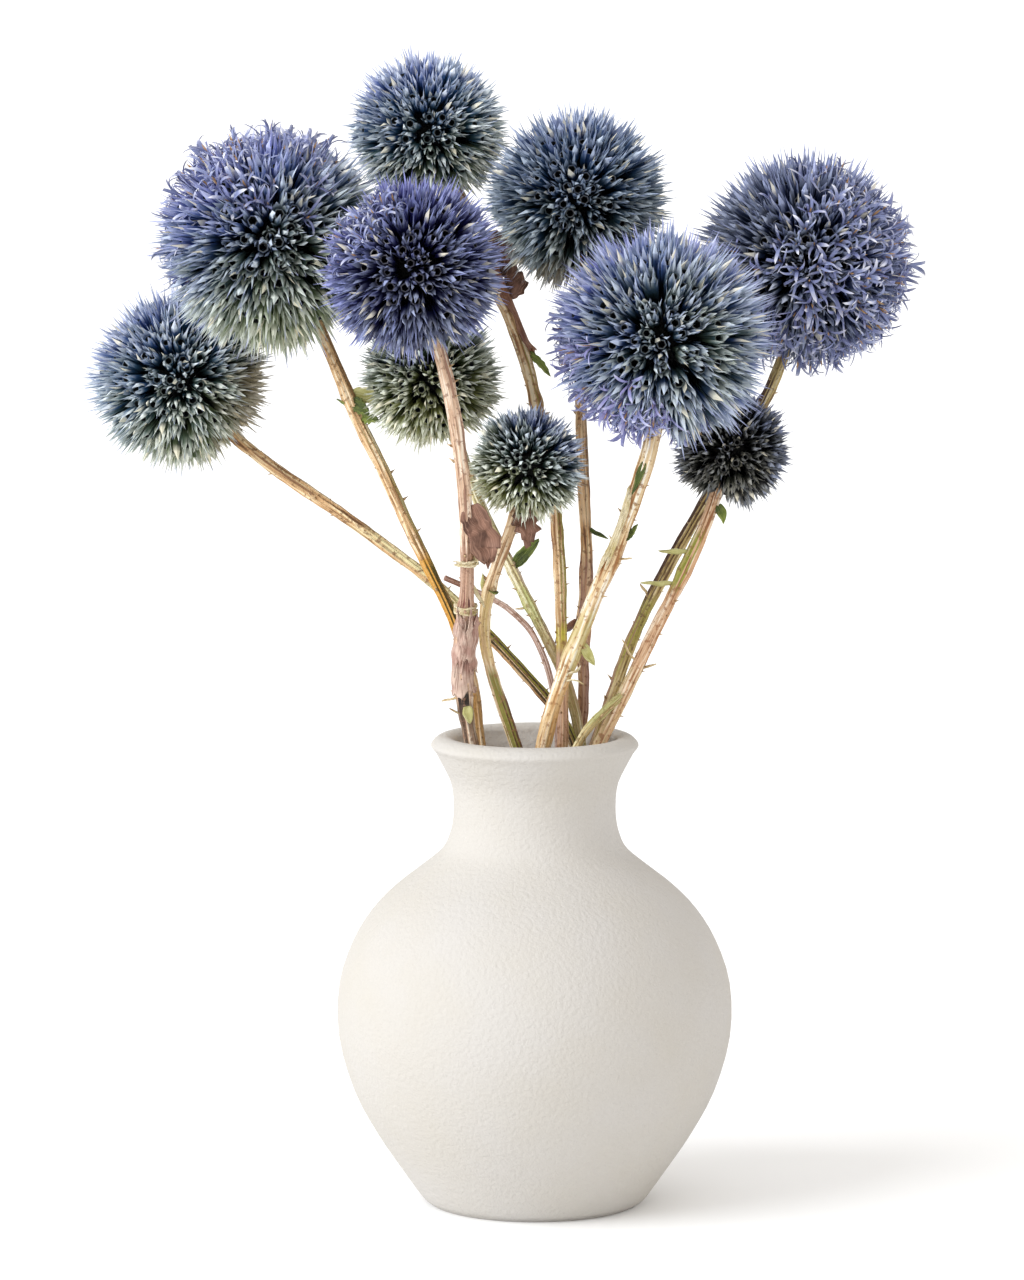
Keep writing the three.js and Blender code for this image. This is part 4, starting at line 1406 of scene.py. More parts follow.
class BarkTree:
    """The Geometry Nodes tree that raises ribbed, prickly bark along a stem's line."""

    SOCKETS = {
        "Sides": "Int",
        "Step": "Float",
        "Ribs": "Float",
        "Rib Depth": "Float",
        "Lump Depth": "Float",
        "Lump Size": "Float",
        "Prickle": "Object",
        "Prickle Spacing": "Float",
        "Prickles From": "Float",
        "Prickles To": "Float",
        "Bark": "Material",
        "Prickle Finish": "Material",
        "Seed": "Int",
    }

    def __init__(self) -> None:
        """Builds the tree."""
        self.tree, self.g, self.given = tree_with("Ribbed bark", self.SOCKETS)
        bark = self._bark()
        prickles = self._prickles(bark)
        bark = self.g.add("GeometryNodeSetMaterial", {"Geometry": bark, "Material": self.given["Bark"]})
        joined = self.g.add("GeometryNodeJoinGeometry", {"Geometry": bark})
        self.g.tree.links.new(prickles, joined.node.inputs[0])
        self.g.add("NodeGroupOutput", {"Geometry": joined})

    def _bark(self) -> bpy.types.NodeSocket:
        """The tube round the line, with ribs that wander round it and soft lumps."""
        g, given = self.g, self.given
        line = g.add("GeometryNodeMeshToCurve", {"Mesh": given["Geometry"]})
        line = g.add("GeometryNodeResampleCurve", {"Curve": line, "Length": given["Step"]}, mode="LENGTH")
        length = g.add("GeometryNodeSplineParameter", out="Length")
        line = g.add(
            "GeometryNodeStoreNamedAttribute",
            {"Geometry": line, "Name": "along", "Value": length},
            data_type="FLOAT",
            domain="POINT",
        )
        place = g.add("GeometryNodeInputPosition")
        ring = g.add("GeometryNodeCurvePrimitiveCircle", {"Resolution": given["Sides"], "Radius": 1.0})
        ring = g.add(
            "GeometryNodeStoreNamedAttribute",
            {"Geometry": ring, "Name": "turn", "Value": place},
            data_type="FLOAT_VECTOR",
            domain="POINT",
        )
        thickness = g.add("GeometryNodeInputNamedAttribute", {"Name": "thickness"}, out="Attribute", data_type="FLOAT")
        tube = g.add(
            "GeometryNodeCurveToMesh", {"Curve": line, "Profile Curve": ring, "Scale": thickness, "Fill Caps": True}
        )
        turn = g.add("GeometryNodeInputNamedAttribute", {"Name": "turn"}, out="Attribute", data_type="FLOAT_VECTOR")
        along = g.add("GeometryNodeInputNamedAttribute", {"Name": "along"}, out="Attribute", data_type="FLOAT")
        x = g.add("ShaderNodeSeparateXYZ", {0: turn}, out="X")
        y = g.add("ShaderNodeSeparateXYZ", {0: turn}, out="Y")
        angle = g.add("ShaderNodeMath", {0: y, 1: x}, operation="ARCTAN2")
        sway = g.add("ShaderNodeMath", {0: along, 1: 60.0}, operation="MULTIPLY")
        sway = g.add("ShaderNodeMath", {0: sway}, operation="SINE")
        phase = g.add("ShaderNodeMath", {0: angle, 1: given["Ribs"], 2: sway}, operation="MULTIPLY_ADD")
        rib = g.add("ShaderNodeMath", {0: phase}, operation="COSINE")
        rib = g.add("ShaderNodeMath", {0: rib, 1: 0.5, 2: -0.5}, operation="MULTIPLY_ADD")
        rib = g.add("ShaderNodeMath", {0: rib, 1: given["Rib Depth"]}, operation="MULTIPLY")
        grain = g.add("ShaderNodeVectorMath", {0: place, 1: given["Lump Size"]}, operation="DIVIDE")
        lump = g.add("ShaderNodeTexNoise", {"Vector": grain, "Scale": 1.0, "Detail": 2.0}, out="Fac")
        lump = g.add("ShaderNodeMath", {0: lump, 1: -0.55}, operation="ADD")
        lump = g.add("ShaderNodeMath", {0: lump, 1: given["Lump Depth"]}, operation="MULTIPLY")
        raised = g.add("ShaderNodeMath", {0: rib, 1: lump}, operation="ADD")
        normal = g.add("GeometryNodeInputNormal")
        push = g.add("ShaderNodeVectorMath", {0: normal, "Scale": raised}, operation="SCALE")
        tube = g.add("GeometryNodeSetPosition", {"Geometry": tube, "Offset": push})
        return g.add(
            "GeometryNodeStoreNamedAttribute",
            {"Geometry": tube, "Name": "facing", "Value": normal},
            data_type="FLOAT_VECTOR",
            domain="POINT",
        )

    def _prickles(self, bark: Any) -> bpy.types.NodeSocket:
        """Prickles scattered over the bark between two heights, made real."""
        g, given = self.g, self.given
        place = g.add("GeometryNodeInputPosition")
        height = g.add("ShaderNodeSeparateXYZ", {0: place}, out="Z")
        over = g.add("ShaderNodeMath", {0: height, 1: given["Prickles From"]}, operation="GREATER_THAN")
        under = g.add("ShaderNodeMath", {0: height, 1: given["Prickles To"]}, operation="LESS_THAN")
        wanted = g.add("ShaderNodeMath", {0: over, 1: under}, operation="MULTIPLY")
        scattered = g.add(
            "GeometryNodeDistributePointsOnFaces",
            {
                "Mesh": bark,
                "Selection": wanted,
                "Distance Min": given["Prickle Spacing"],
                "Density Max": 90000.0,
                "Seed": given["Seed"],
            },
            distribute_method="POISSON",
        )
        normal = scattered.node.outputs["Normal"]
        tilt = g.add("ShaderNodeVectorMath", {0: normal, 1: (0, 0, 0.5)}, operation="ADD")
        facing = g.add("FunctionNodeAlignRotationToVector", {"Vector": tilt}, axis="Z")
        size = g.add(
            "FunctionNodeRandomValue", {"Min_001": 0.35, "Max_001": 1.15, "Seed": given["Seed"]}, out="Value_001"
        )
        prickle = g.add("GeometryNodeObjectInfo", {"Object": given["Prickle"]}, out="Geometry")
        stood = g.add(
            "GeometryNodeInstanceOnPoints",
            {"Points": scattered, "Instance": prickle, "Rotation": facing, "Scale": size},
        )
        real = g.add("GeometryNodeRealizeInstances", {"Geometry": stood})
        return g.add("GeometryNodeSetMaterial", {"Geometry": real, "Material": given["Prickle Finish"]})


@dataclass(frozen=True)
class Knot:
    """A swelling of a stem, where a leaf once grew. Height and half length in mm."""

    height: float
    swell: float = 0.3
    half: float = 2.0


@dataclass(frozen=True)
class Leaf:
    """A small dried leaf, spur or bract on a stem. Sizes in mm, turns in degrees from +X."""

    height: float
    turn: float
    length: float
    width: float
    finish: LeafFinish
    rise: float = 0.4
    curl: float = 20.0
    fold: float = 0.35
    teeth: float = 0.25
    crumple: float = 0.3
    thickness: float = 0.3
    roll: float = 0.0
    stations: int = 14
    columns: int = 6

    def mesh(self, name: str, line: StemLine, seed: int) -> bpy.types.Mesh:
        """The leaf as a closed thin blade.

        Args:
            name: the mesh's name.
            line: the stem that it grows on.
            seed: sets its crumples.

        Returns:
            The mesh, in place.
        """
        at, out, up, radius = line.outward(self.height, self.turn)
        way = (out + up * self.rise).normalized()
        across = way.cross(up).normalized()
        back = across.cross(way).normalized()
        rolled = Matrix.Rotation(math.radians(self.roll), 3, way)
        side, face = rolled @ across, rolled @ back
        chance = random.Random(seed)
        shift = Vector((chance.random(), chance.random(), chance.random())) * 40
        spot = at + out * radius * 0.75
        step = self.length * MM / self.stations
        vertices, along, over = [], [], []
        for i in range(self.stations + 1):
            share = i / self.stations
            wide = math.sin(math.pi * min(1.0, 0.12 + 0.88 * share) ** 0.8) ** 0.8 if share < 1 else 0.0
            notch = 1 - self.teeth * (0.5 + 0.5 * math.cos(share * math.pi * 2 * 4.5))
            half = max(self.width * MM / 2 * wide * notch, 0.02 * MM)
            for j in range(self.columns + 1):
                u = 2 * j / self.columns - 1
                point = spot + side * half * u + face * abs(u) * half * self.fold
                point += noise.noise_vector(point / (2.2 * MM) + shift) * self.crumple * MM * min(share * 3, 1)
                vertices.append(point)
                along.append(share)
                over.append(u)
            bend = Matrix.Rotation(math.radians(self.curl) / self.stations, 3, across)
            way, side, face = bend @ way, bend @ side, bend @ face
            spot = spot + way * step
        columns = self.columns + 1
        faces = [
            (i * columns + j, i * columns + j + 1, (i + 1) * columns + j + 1, (i + 1) * columns + j)
            for i in range(self.stations)
            for j in range(self.columns)
        ]
        return mesh_of(name, vertices, faces, {"along": along, "across": over})


@dataclass(frozen=True)
class Peel:
    """A strip of loosened, papery bark. Heights and sizes in mm, turns in degrees from +X."""

    low: float
    high: float
    turn: float
    wrap: float
    finish: LeafFinish
    stand: float = 0.4
    flare: float = 1.0
    ragged: float = 2.0
    swell: float = 0.0
    lumps: float = 0.35
    thickness: float = 0.22
    stations: int = 36
    columns: int = 22

    def mesh(self, name: str, line: StemLine, seed: int) -> bpy.types.Mesh:
        """The strip as a thin sheet round the stem, with torn ends and lifted edges."""
        chance = random.Random(seed)
        shift = Vector((chance.random(), chance.random(), chance.random())) * 40
        vertices, along, over = [], [], []
        for i in range(self.stations + 1):
            share = i / self.stations
            for j in range(self.columns + 1):
                u = 2 * j / self.columns - 1
                tear_low = self.ragged * noise.noise(Vector((u * 5, 0, 0)) + shift)
                tear_high = self.ragged * noise.noise(Vector((u * 6, 9, 0)) + shift)
                tear_side = 0.25 * noise.noise(Vector((share * 6, 4, 2)) + shift)
                height = (self.low + tear_low) + (self.high - self.low + tear_high - tear_low) * share
                turn = self.turn + self.wrap / 2 * u * (1 + tear_side)
                at, out, _, radius = line.outward(height, turn)
                ends = max(0.0, abs(2 * share - 1) - 0.75) / 0.25
                edge = max(0.0, abs(u) - 0.7) / 0.3
                lift = self.stand + self.flare * (ends**2 + edge**2)
                lift += self.lumps * noise.noise(Vector((u * 2.5, (self.high - self.low) * share / 4, 1)) + shift)
                belly = radius * (1 + self.swell * math.sin(math.pi * share))
                vertices.append(at + out * (belly + lift * MM))
                along.append(share)
                over.append(u)
        columns = self.columns + 1
        faces = [
            (i * columns + j, i * columns + j + 1, (i + 1) * columns + j + 1, (i + 1) * columns + j)
            for i in range(self.stations)
            for j in range(self.columns)
        ]
        return mesh_of(name, vertices, faces, {"along": along, "across": over})


@dataclass(frozen=True)
class Fork:
    """A side branch that hangs down beside its stem, between two heights in mm."""

    low: float
    high: float
    finish: BarkFinish


@dataclass
class Stem:
    """One dried stalk with its bark, prickles, knots, leaves and loosened bark."""

    node: str
    slot: Slot
    finish: BarkFinish
    knots: tuple[Knot, ...] = ()
    leaves: tuple[Leaf, ...] = ()
    peels: tuple[Peel, ...] = ()
    fork: Fork | None = None
    ribs: float = 9.0
    rib_depth_mm: float = 0.42
    lump_depth_mm: float = 0.7
    lump_size_mm: float = 5.0
    sides: int = 36
    step_mm: float = 1.1
    prickle_spacing_mm: float = 3.6
    prickles_from_mm: float = 122.0
    sunk_mm: float = 2.0  # how far the stem runs on into its head's core
    line: StemLine = field(init=False)

    def __post_init__(self) -> None:
        """Finds the stem's line in its solid."""
        self.line = StemLine.of_node(self.node)

    def base(self, line: StemLine, sunk_mm: float) -> bpy.types.Mesh:
        """A line as a chain of edges that carries its thickness, swollen at the knots.

        Args:
            line: the line of the stem or of its branch.
            sunk_mm: how far it runs on past its upper end.

        Returns:
            The chain.
        """
        points, radii = line.points[:], line.radii[:]
        if sunk_mm:
            way = (points[-1] - points[-2]).normalized()
            points.append(points[-1] + way * sunk_mm * MM)
            radii.append(radii[-1])
        thickness = []
        for point, radius in zip(points, radii):
            swell = sum(k.swell * math.exp(-(((point.z / MM - k.height) / k.half) ** 2)) for k in self.knots)
            thickness.append(radius * (1 + swell))
        mesh = bpy.data.meshes.new(self.node)
        mesh.from_pydata([tuple(p) for p in points], [(i, i + 1) for i in range(len(points) - 1)], [])
        mesh.attributes.new("thickness", "FLOAT", "POINT").data.foreach_set("value", thickness)
        return mesh

    def build(self, tree: bpy.types.NodeTree, prickle: bpy.types.Object) -> None:
        """Args:
            tree: the bark's Geometry Nodes tree.
            prickle: the prickle that is repeated.
        """
        self._bark(self.node + "_bark", self.base(self.line, self.sunk_mm), self.finish, tree, prickle)
        if self.fork is not None:
            branch = self.line.fork(self.node, self.fork.low, self.fork.high)
            self._bark(self.node + "_branch", self.base(branch, 0.0), self.fork.finish, tree, prickle)
        for i, leaf in enumerate(self.leaves):
            self._sheet(f"{self.node}_leaf_{i + 1}", leaf, 300 + i)
        for i, peel in enumerate(self.peels):
            self._sheet(f"{self.node}_peel_{i + 1}", peel, 400 + i)

    def _bark(
        self,
        name: str,
        base: bpy.types.Mesh,
        finish: BarkFinish,
        tree: bpy.types.NodeTree,
        prickle: bpy.types.Object,
    ) -> None:
        values = {
            "Sides": self.sides,
            "Step": self.step_mm * MM,
            "Ribs": self.ribs,
            "Rib Depth": self.rib_depth_mm * MM,
            "Lump Depth": self.lump_depth_mm * MM,
            "Lump Size": self.lump_size_mm * MM,
            "Prickle": prickle,
            "Prickle Spacing": self.prickle_spacing_mm * MM,
            "Prickles From": self.prickles_from_mm * MM,
            "Prickles To": self.line.points[-1].z - 6 * MM,
            "Bark": finish.material(),
            "Prickle Finish": PRICKLE.material(),
            "Seed": sum(map(ord, name)),
        }
        bark = grown(name, base, tree, values)
        bark.data.shade_smooth()
        declare(bark, self.slot.value, self.node)

    def _sheet(self, name: str, kind: Leaf | Peel, seed: int) -> None:
        mesh = kind.mesh(name, self.line, seed + sum(map(ord, self.node)))
        face_out(mesh, 0.01 * MM)
        mesh.shade_smooth()
        mesh.materials.append(kind.finish.material())
        piece = new_object(name, mesh)
        wall = piece.modifiers.new("Thickness", "SOLIDIFY")
        wall.thickness = kind.thickness * MM
        wall.offset = 0.0
        declare(made_plain(piece), self.slot.value)


# ---- the bunch ---------------------------------------------------------------------------

BLUE_BRACTS = BractFinish(
    "blue",
    blade=("69784f", "30505a", "2a5482", "3a529c"),
    pale=("fdfdf0", "f4faf2", "ecf6fc", "dce4fa"),
    tip="8f9cc8",
    pale_highlight_share=1.0,
)
STEEL_BRACTS = BractFinish(
    "steel",
    blade=("4a5842", "223c4c", "22426c", "2e4484"),
    pale=("f4f4e6", "dee8e6", "d0dfee", "c8d4f0"),
    tip="7f90b8",
    root="040507",
    pale_highlight_share=0.8,
)
VIOLET_BRACTS = BractFinish(
    "violet",
    blade=("647548", "304858", "324e8a", "5058ae"),
    pale=("fbfdea", "ecf4ec", "dce8fa", "d0d6fa"),
    tip="a0a6d8",
    pale_highlight_share=0.85,
)
INDIGO_BRACTS = BractFinish(
    "indigo",
    blade=("1c2450", "12123e", "18185a", "2a2a88"),
    pale=("e4ecfc", "ccd8f8", "b8c4fa", "b4b8fa"),
    tip="98a2dc",
    root="020105",
    pale_highlight_share=0.62,
)
NAVY_BRACTS = BractFinish(
    "navy",
    blade=("34444a", "1c2a3e", "1e2c54", "303e74"),
    pale=("f2f6ea", "dee6f2", "ccd8f6", "ccd4fa"),
    tip="8f9acc",
    root="020205",
    pale_highlight_share=0.72,
)
GREEN_BRACTS = BractFinish(
    "green",
    blade=("8c9052", "3c4a28", "243c42", "2e4278"),
    pale=("fffff0", "f8fcec", "ecf8f8", "d8e4fc"),
    tip="bcbcae",
    pale_highlight_share=1.0,
)
SLATE_BRACTS = BractFinish(
    "slate",
    blade=("30332a", "0d0e11", "10141e", "1c2448"),
    pale=("f0ead4", "b8bcbc", "b0bcdc", "b4bcea"),
    tip="7c809a",
    root="010102",
    pale_highlight_share=0.65,
)
LILAC_PETALS = PetalFinish("lilac", throat="3a4070", petal="8e97bc", pale="f6f6fa", shade="5f6394")
PERIWINKLE_PETALS = PetalFinish("periwinkle", throat="4b4f80", petal="9499c8", pale="dcdff4", shade="827cae")

PAPER = LeafFinish("paper", "cdb4a4", "a98578", "74483c")
CREAM_PAPER = LeafFinish("cream_paper", "dfd3b4", "b9a874", "8f7a54")
RUST = LeafFinish("rust", "a8795c", "7d5140", "59382a")
LEAF = LeafFinish("leaf", "7c8c3c", "44542a", "b4bc70")
PALE_LEAF = LeafFinish("pale_leaf", "bcb878", "96904c", "e0dcae")
DARK_LEAF = LeafFinish("dark_leaf", "45521f", "1c2a14", "8f9a4a")
STRAW_LEAF = LeafFinish("straw_leaf", "c9b083", "94764c", "e0cfa4")
HUSK = LeafFinish("husk", "84604f", "54382c", "ac8672")


def heads() -> list[ThistleHead]:
    """The ten heads and how each has ripened; left, front and top are -X, -Y and +Z."""
    return [
        ThistleHead("01", Slot.BLUE, BLUE_BRACTS, LILAC_PETALS, Bloom((-0.35, 0.1, 1.0), 0.52, 0.42)),
        ThistleHead(
            "02",
            Slot.VIOLET,
            VIOLET_BRACTS,
            LILAC_PETALS,
            Bloom((-0.6, 0.0, 0.9), 0.42, 0.55, (-0.45, 0.15, 0.9), 0.38, 0.5), shift_mm=(-0.5, 0.0, -1.5)),
        ThistleHead(
            "03",
            Slot.INDIGO,
            INDIGO_BRACTS,
            LILAC_PETALS,
            Bloom((-0.2, 0.6, 0.3), 0.62, 0.3, (-0.75, -0.2, 0.65), 0.82, 0.12), swell=1.03, shift_mm=(0.0, 0.8, 0.0)),
        ThistleHead(
            "04",
            Slot.BLUE,
            BLUE_BRACTS,
            LILAC_PETALS,
            Bloom((-0.6, 0.0, 0.9), 0.42, 0.45, wither=(1.0, 0.1, -0.3), wither_from=0.6), swell=1.03, shift_mm=(0.0, -1.0, 0.0)),
        ThistleHead(
            "05", Slot.GREEN, GREEN_BRACTS, LILAC_PETALS, Bloom((-0.2, 0.2, 1.0), 0.32, 0.3)
        ),
        ThistleHead(
            "06",
            Slot.BLUE,
            STEEL_BRACTS,
            LILAC_PETALS,
            Bloom((-0.1, 0.0, 1.0), 0.5, 0.32, wither=(-0.3, 0.2, -1.0), wither_from=0.6), swell=1.1, shift_mm=(-1.5, 0.0, -1.0)),
        ThistleHead(
            "07",
            Slot.VIOLET,
            VIOLET_BRACTS,
            PERIWINKLE_PETALS,
            Bloom((-0.35, 0.9, 0.1), 0.72, 0.35, (-0.6, 0.15, -0.8), 0.5, 0.4), swell=1.09, shift_mm=(1.5, 0.0, -2.0)),
        ThistleHead(
            "08",
            Slot.VIOLET,
            NAVY_BRACTS,
            LILAC_PETALS,
            Bloom((0.3, 0.3, 0.2), 0.7, 0.25, (0.55, -0.3, -0.35), -0.1, 0.75), shift_mm=(-1.0, 0.0, 1.5)),
        ThistleHead(
            "09", Slot.GREEN, GREEN_BRACTS, LILAC_PETALS, Bloom((0.5, 0.1, 1.0), 0.5, 0.5), shift_mm=(0.5, 0.0, -0.8)),
        ThistleHead(
            "10", Slot.SLATE, SLATE_BRACTS, LILAC_PETALS, Bloom((0.2, 0.7, 0.4), 0.55, 0.4), swell=1.09, shift_mm=(0.0, 0.0, -1.5)),
    ]


LEFT = (-1.0, -0.3, 0.0)
RIGHT = (1.0, -0.3, 0.0)
FRONT = (0.0, -1.0, 0.0)


def stems() -> list[Stem]:
    """The ten stems and the bare stalk, each with its own bark."""
    return [
        Stem(
            "stem_01",
            Slot.PINK,
            BarkFinish(
                "rose",
                "cda87c",
                "ead7b4",
                "8d6340",
                (
                    Band(144, 235, "938d3e", 0.75, RIGHT, 0.45),
                    Band(140.5, 144, "cfc63c", 0.7),
                    Band(118, 139, "b08478", 0.7),
                ),
            ),
            knots=(Knot(200, 0.22, 1.2),),
            peels=(Peel(212, 236, 0, 150, RUST, stand=0.5, flare=1.2),),
            leaves=(
                Leaf(212, 0, 8.5, 2.6, LEAF, rise=-1.6, curl=-15, roll=70),
                Leaf(231, 60, 17, 13.0, HUSK, rise=1.6, curl=-20, crumple=1.6, teeth=0.1, roll=60),
                Leaf(226, 20, 9, 6.0, HUSK, rise=0.4, curl=30, crumple=1.2, teeth=0.1, roll=80),
            ),
        ),
        Stem(
            "stem_02",
            Slot.OLIVE,
            BarkFinish(
                "amber",
                "d3ae80",
                "efdcbc",
                "8f6a44",
                (
                    Band(146, 162, "c58d22", 0.85, patchy=False),
                    Band(147, 160, "2f3412", 0.9, (0.6, -1, 0.3), 0.8, patchy=False),
                    Band(160, 200, "8e8a48", 0.6, RIGHT, 0.5),
                    Band(100, 128, "b58a3c", 0.6),
                ),
            ),
            knots=(Knot(203, 0.2),),
            leaves=(
                Leaf(203, -10, 10.0, 4.4, PALE_LEAF, rise=-0.5, curl=-10, teeth=0.2, roll=75),
                Leaf(201.5, -40, 6.0, 4.0, DARK_LEAF, rise=-1.0, curl=-20, roll=75),
                Leaf(197.5, -20, 5.0, 3.5, LEAF, rise=-0.6, curl=-10, teeth=0.4, roll=80),
                Leaf(201, 200, 3.0, 1.6, LEAF, rise=0.9),
            ),
        ),
        Stem(
            "stem_03",
            Slot.PINK,
            BarkFinish(
                "wine",
                "cfae92",
                "ecdcc8",
                "94705c",
                (
                    Band(153, 166, "b08a74", 0.8, patchy=False),
                    Band(153, 166, "5e1c1e", 0.95, (-0.45, -1, 0), 0.94, patchy=False),
                    Band(153, 166, "4a1518", 0.95, (0.12, -1, 0), 0.96, patchy=False),
                    Band(100, 126, "4c3526", 0.9),
                    Band(127.4, 129.8, "1c100a", 0.97, (-0.1, -1, 0), 0.75, patchy=False),
                ),
            ),
            knots=(Knot(152, 0.3, 1.2),),
            peels=(
                Peel(130, 151, -110, 230, PAPER, stand=0.05, flare=0.35, ragged=2.0, lumps=1.0),
                Peel(137, 150, -70, 90, PAPER, stand=0.5, flare=0.6, ragged=6.0, lumps=1.0),
                Peel(151.4, 152.8, -90, 340, CREAM_PAPER, stand=0.05, flare=0.9, ragged=0.4),
                Peel(163.8, 164.8, -60, 170, CREAM_PAPER, stand=0.2, flare=0.9, ragged=0.4),
            ),
            leaves=(
                Leaf(178.5, -20, 18, 8.5, HUSK, rise=-2.0, curl=-28, crumple=1.8, teeth=0.15, fold=0.5, roll=80),
                Leaf(163, -20, 7.0, 2.0, CREAM_PAPER, rise=1.3, curl=40, teeth=0.0, roll=60),
                Leaf(158, 0, 7.0, 1.0, CREAM_PAPER, rise=-1.6, curl=-10, teeth=0.0, roll=80),
                Leaf(129, 190, 4.0, 1.5, STRAW_LEAF, rise=-0.3),
                Leaf(127, -75, 4.5, 2.6, PALE_LEAF, rise=-3.5, curl=5, teeth=0.0),
                Leaf(125, 200, 3.0, 1.2, STRAW_LEAF, rise=0.5),
            ),
        ),
        Stem(
            "stem_04",
            Slot.OLIVE,
            BarkFinish(
                "moss",
                "c69e70",
                "e6d0a8",
                "7a5636",
                (
                    Band(100, 150, "8f8c34", 0.9, (0.7, -0.4, 0.8), 0.05, patchy=False),
                    # a near-black stripe down the front, from 100 to 150 mm
                    Band(100, 150, "2c180f", 0.9, (-0.1, -1, 0.15), 0.86, patchy=False),
                    Band(150, 166, "d5cd9e", 0.8),
                ),
            ),
        ),
        Stem(
            "stem_05",
            Slot.STRAW,
            BarkFinish(
                "cream",
                "d8cc9c",
                "f2ecd2",
                "9a8a58",
                (
                    Band(118, 165, "a8837a", 0.85, (1, -0.2, 0.3), 0.55),
                    Band(147, 154, "b3bd74", 0.7),
                    Band(100, 140, "a8905a", 0.7),
                ),
            ),
            knots=(Knot(151, 0.28, 1.5),),
            leaves=(
                Leaf(160, 0, 9.0, 3.4, LEAF, rise=0.4, curl=0, teeth=0.05, fold=0.6, roll=80),
                Leaf(159.5, -15, 9.5, 1.4, DARK_LEAF, rise=0.4, curl=0, teeth=0.0, roll=80),
                Leaf(150, 170, 3.0, 1.4, STRAW_LEAF, rise=0.2),
            ),
        ),
        Stem(
            "stem_06",
            Slot.BROWN,
            BarkFinish(
                "umber",
                "bd9164",
                "e0c49a",
                "6e4a2e",
                (
                    Band(172, 230, "dcc09a", 0.8),
                    Band(100, 160, "9c786c", 0.85),
                    Band(160, 200, "54402a", 0.8, RIGHT, 0.75),
                ),
            ),
            knots=(Knot(157, 0.25), Knot(143, 0.35, 5)),
            leaves=(
                Leaf(169, -20, 5.5, 1.3, DARK_LEAF, rise=-1.0, curl=30, teeth=0.0, roll=50),
                Leaf(185, 160, 4.0, 1.2, STRAW_LEAF, rise=0.8),
                Leaf(146, 160, 9, 6.0, HUSK, rise=-1.2, curl=10, crumple=0.8, teeth=0.1),
            ),
        ),
        Stem(
            "stem_07",
            Slot.STRAW,
            BarkFinish(
                "bone",
                "dcc298",
                "f6eedd",
                "9a6a3e",
                (
                    Band(118, 190, "b88a4e", 0.7, (1, -0.1, -0.3), 0.6),
                    Band(100, 132, "c9964e", 0.7),
                    Band(136, 150, "b4b070", 0.5),
                ),
            ),
            knots=(Knot(163.5, 0.2), Knot(140.5, 0.2)),
            leaves=(
                Leaf(143.5, -15, 6.0, 2.6, PALE_LEAF, rise=-1.0, curl=15, teeth=0.0, roll=70),
                Leaf(136, -60, 6.0, 0.9, CREAM_PAPER, rise=0.2, curl=60, teeth=0.0),
                Leaf(134, -50, 7.0, 0.8, CREAM_PAPER, rise=0.8, curl=-40, teeth=0.0),
                Leaf(189, -110, 8.5, 1.8, DARK_LEAF, rise=-6.0, curl=5, teeth=0.0),
                Leaf(170, -15, 5.0, 2.0, DARK_LEAF, rise=3.0, curl=0, roll=70),
                Leaf(165, -10, 3.5, 1.6, STRAW_LEAF, rise=0.3),
            ),
            peels=(
                Peel(164, 180, -125, 50, CREAM_PAPER, stand=0.05, flare=0.4, ragged=5.0),
            ),
            ribs=11.0,
        ),
        Stem(
            "stem_08",
            Slot.BROWN,
            BarkFinish(
                "khaki",
                "b39c64",
                "d6c598",
                "6e5434",
                (
                    Band(148, 205, "4c302a", 0.9, LEFT, 0.35, patchy=False),
                    Band(134, 150, "98943f", 0.8),
                    Band(100, 148, "8a6258", 0.8, LEFT, 0.4),
                ),
            ),
            leaves=(Leaf(152, 190, 3.5, 1.6, STRAW_LEAF, rise=0.4),),
        ),
        Stem(
            "stem_09",
            Slot.STRAW,
            BarkFinish(
                "lime",
                "dabb94",
                "f0dfc2",
                "9c7450",
                (
                    Band(139, 155, "d6c07c", 0.6),
                    Band(100, 134, "7e7c2c", 0.9, (0.1, -1, 0), 0.72, patchy=False),
                    # dark brown down the right side, from 100 to 128 mm
                    Band(100, 128, "5d3a20", 0.9, RIGHT, 0.55, patchy=False),
                ),
            ),
            knots=(Knot(156, 0.3, 1.3), Knot(143.5, 0.15)),
            leaves=(
                Leaf(155, 175, 5.0, 1.2, PALE_LEAF, rise=2.5, curl=10, teeth=0.0, roll=80),
                Leaf(156, -60, 2.6, 2.6, DARK_LEAF, rise=0.0),
                Leaf(177, -30, 10, 8.0, HUSK, rise=-0.9, curl=-45, crumple=1.2, roll=40),
            ),
        ),
        Stem(
            "stem_10",
            Slot.STRAW,
            BarkFinish(
                "fawn",
                "d2ac88",
                "efdac0",
                "95643f",
                (
                    Band(118, 178, "bd8142", 0.7, (1, -0.1, -0.4), 0.5),
                    Band(157, 168, "98a03a", 0.85, LEFT, 0.2),
                    Band(100, 134, "cdbf8c", 0.7),
                ),
            ),
            knots=(Knot(166, 0.2), Knot(160, 0.25)),
            leaves=(
                Leaf(176.5, -15, 5.0, 2.4, LEAF, rise=-0.9, curl=-25, teeth=0.0, roll=60),
                Leaf(164.0, 195, 8.0, 1.5, PALE_LEAF, rise=-0.5, curl=10, teeth=0.0, roll=60),
                Leaf(156.0, 195, 8.5, 1.5, PALE_LEAF, rise=-0.55, curl=10, teeth=0.0, roll=60),
                Leaf(136, 10, 4.0, 1.6, STRAW_LEAF, rise=0.7),
                Leaf(137, 190, 6.0, 1.4, STRAW_LEAF, rise=0.4),
            ),
            fork=Fork(
                105,
                131,
                BarkFinish("sprig", "b59c6a", "d9cfa4", "7c6236", (Band(124, 132, "b3b474", 0.7),)),
            ),
        ),
        Stem(
            "bare_stalk",
            Slot.BROWN,
            BarkFinish("twig", "c4a496", "e2cec2", "8f6a56", (Band(155.5, 160, "8a5a48", 0.8),)),
            ribs=6.0,
            rib_depth_mm=0.15,
            lump_depth_mm=0.25,
            sides=20,
            sunk_mm=0.0,
        ),
    ]


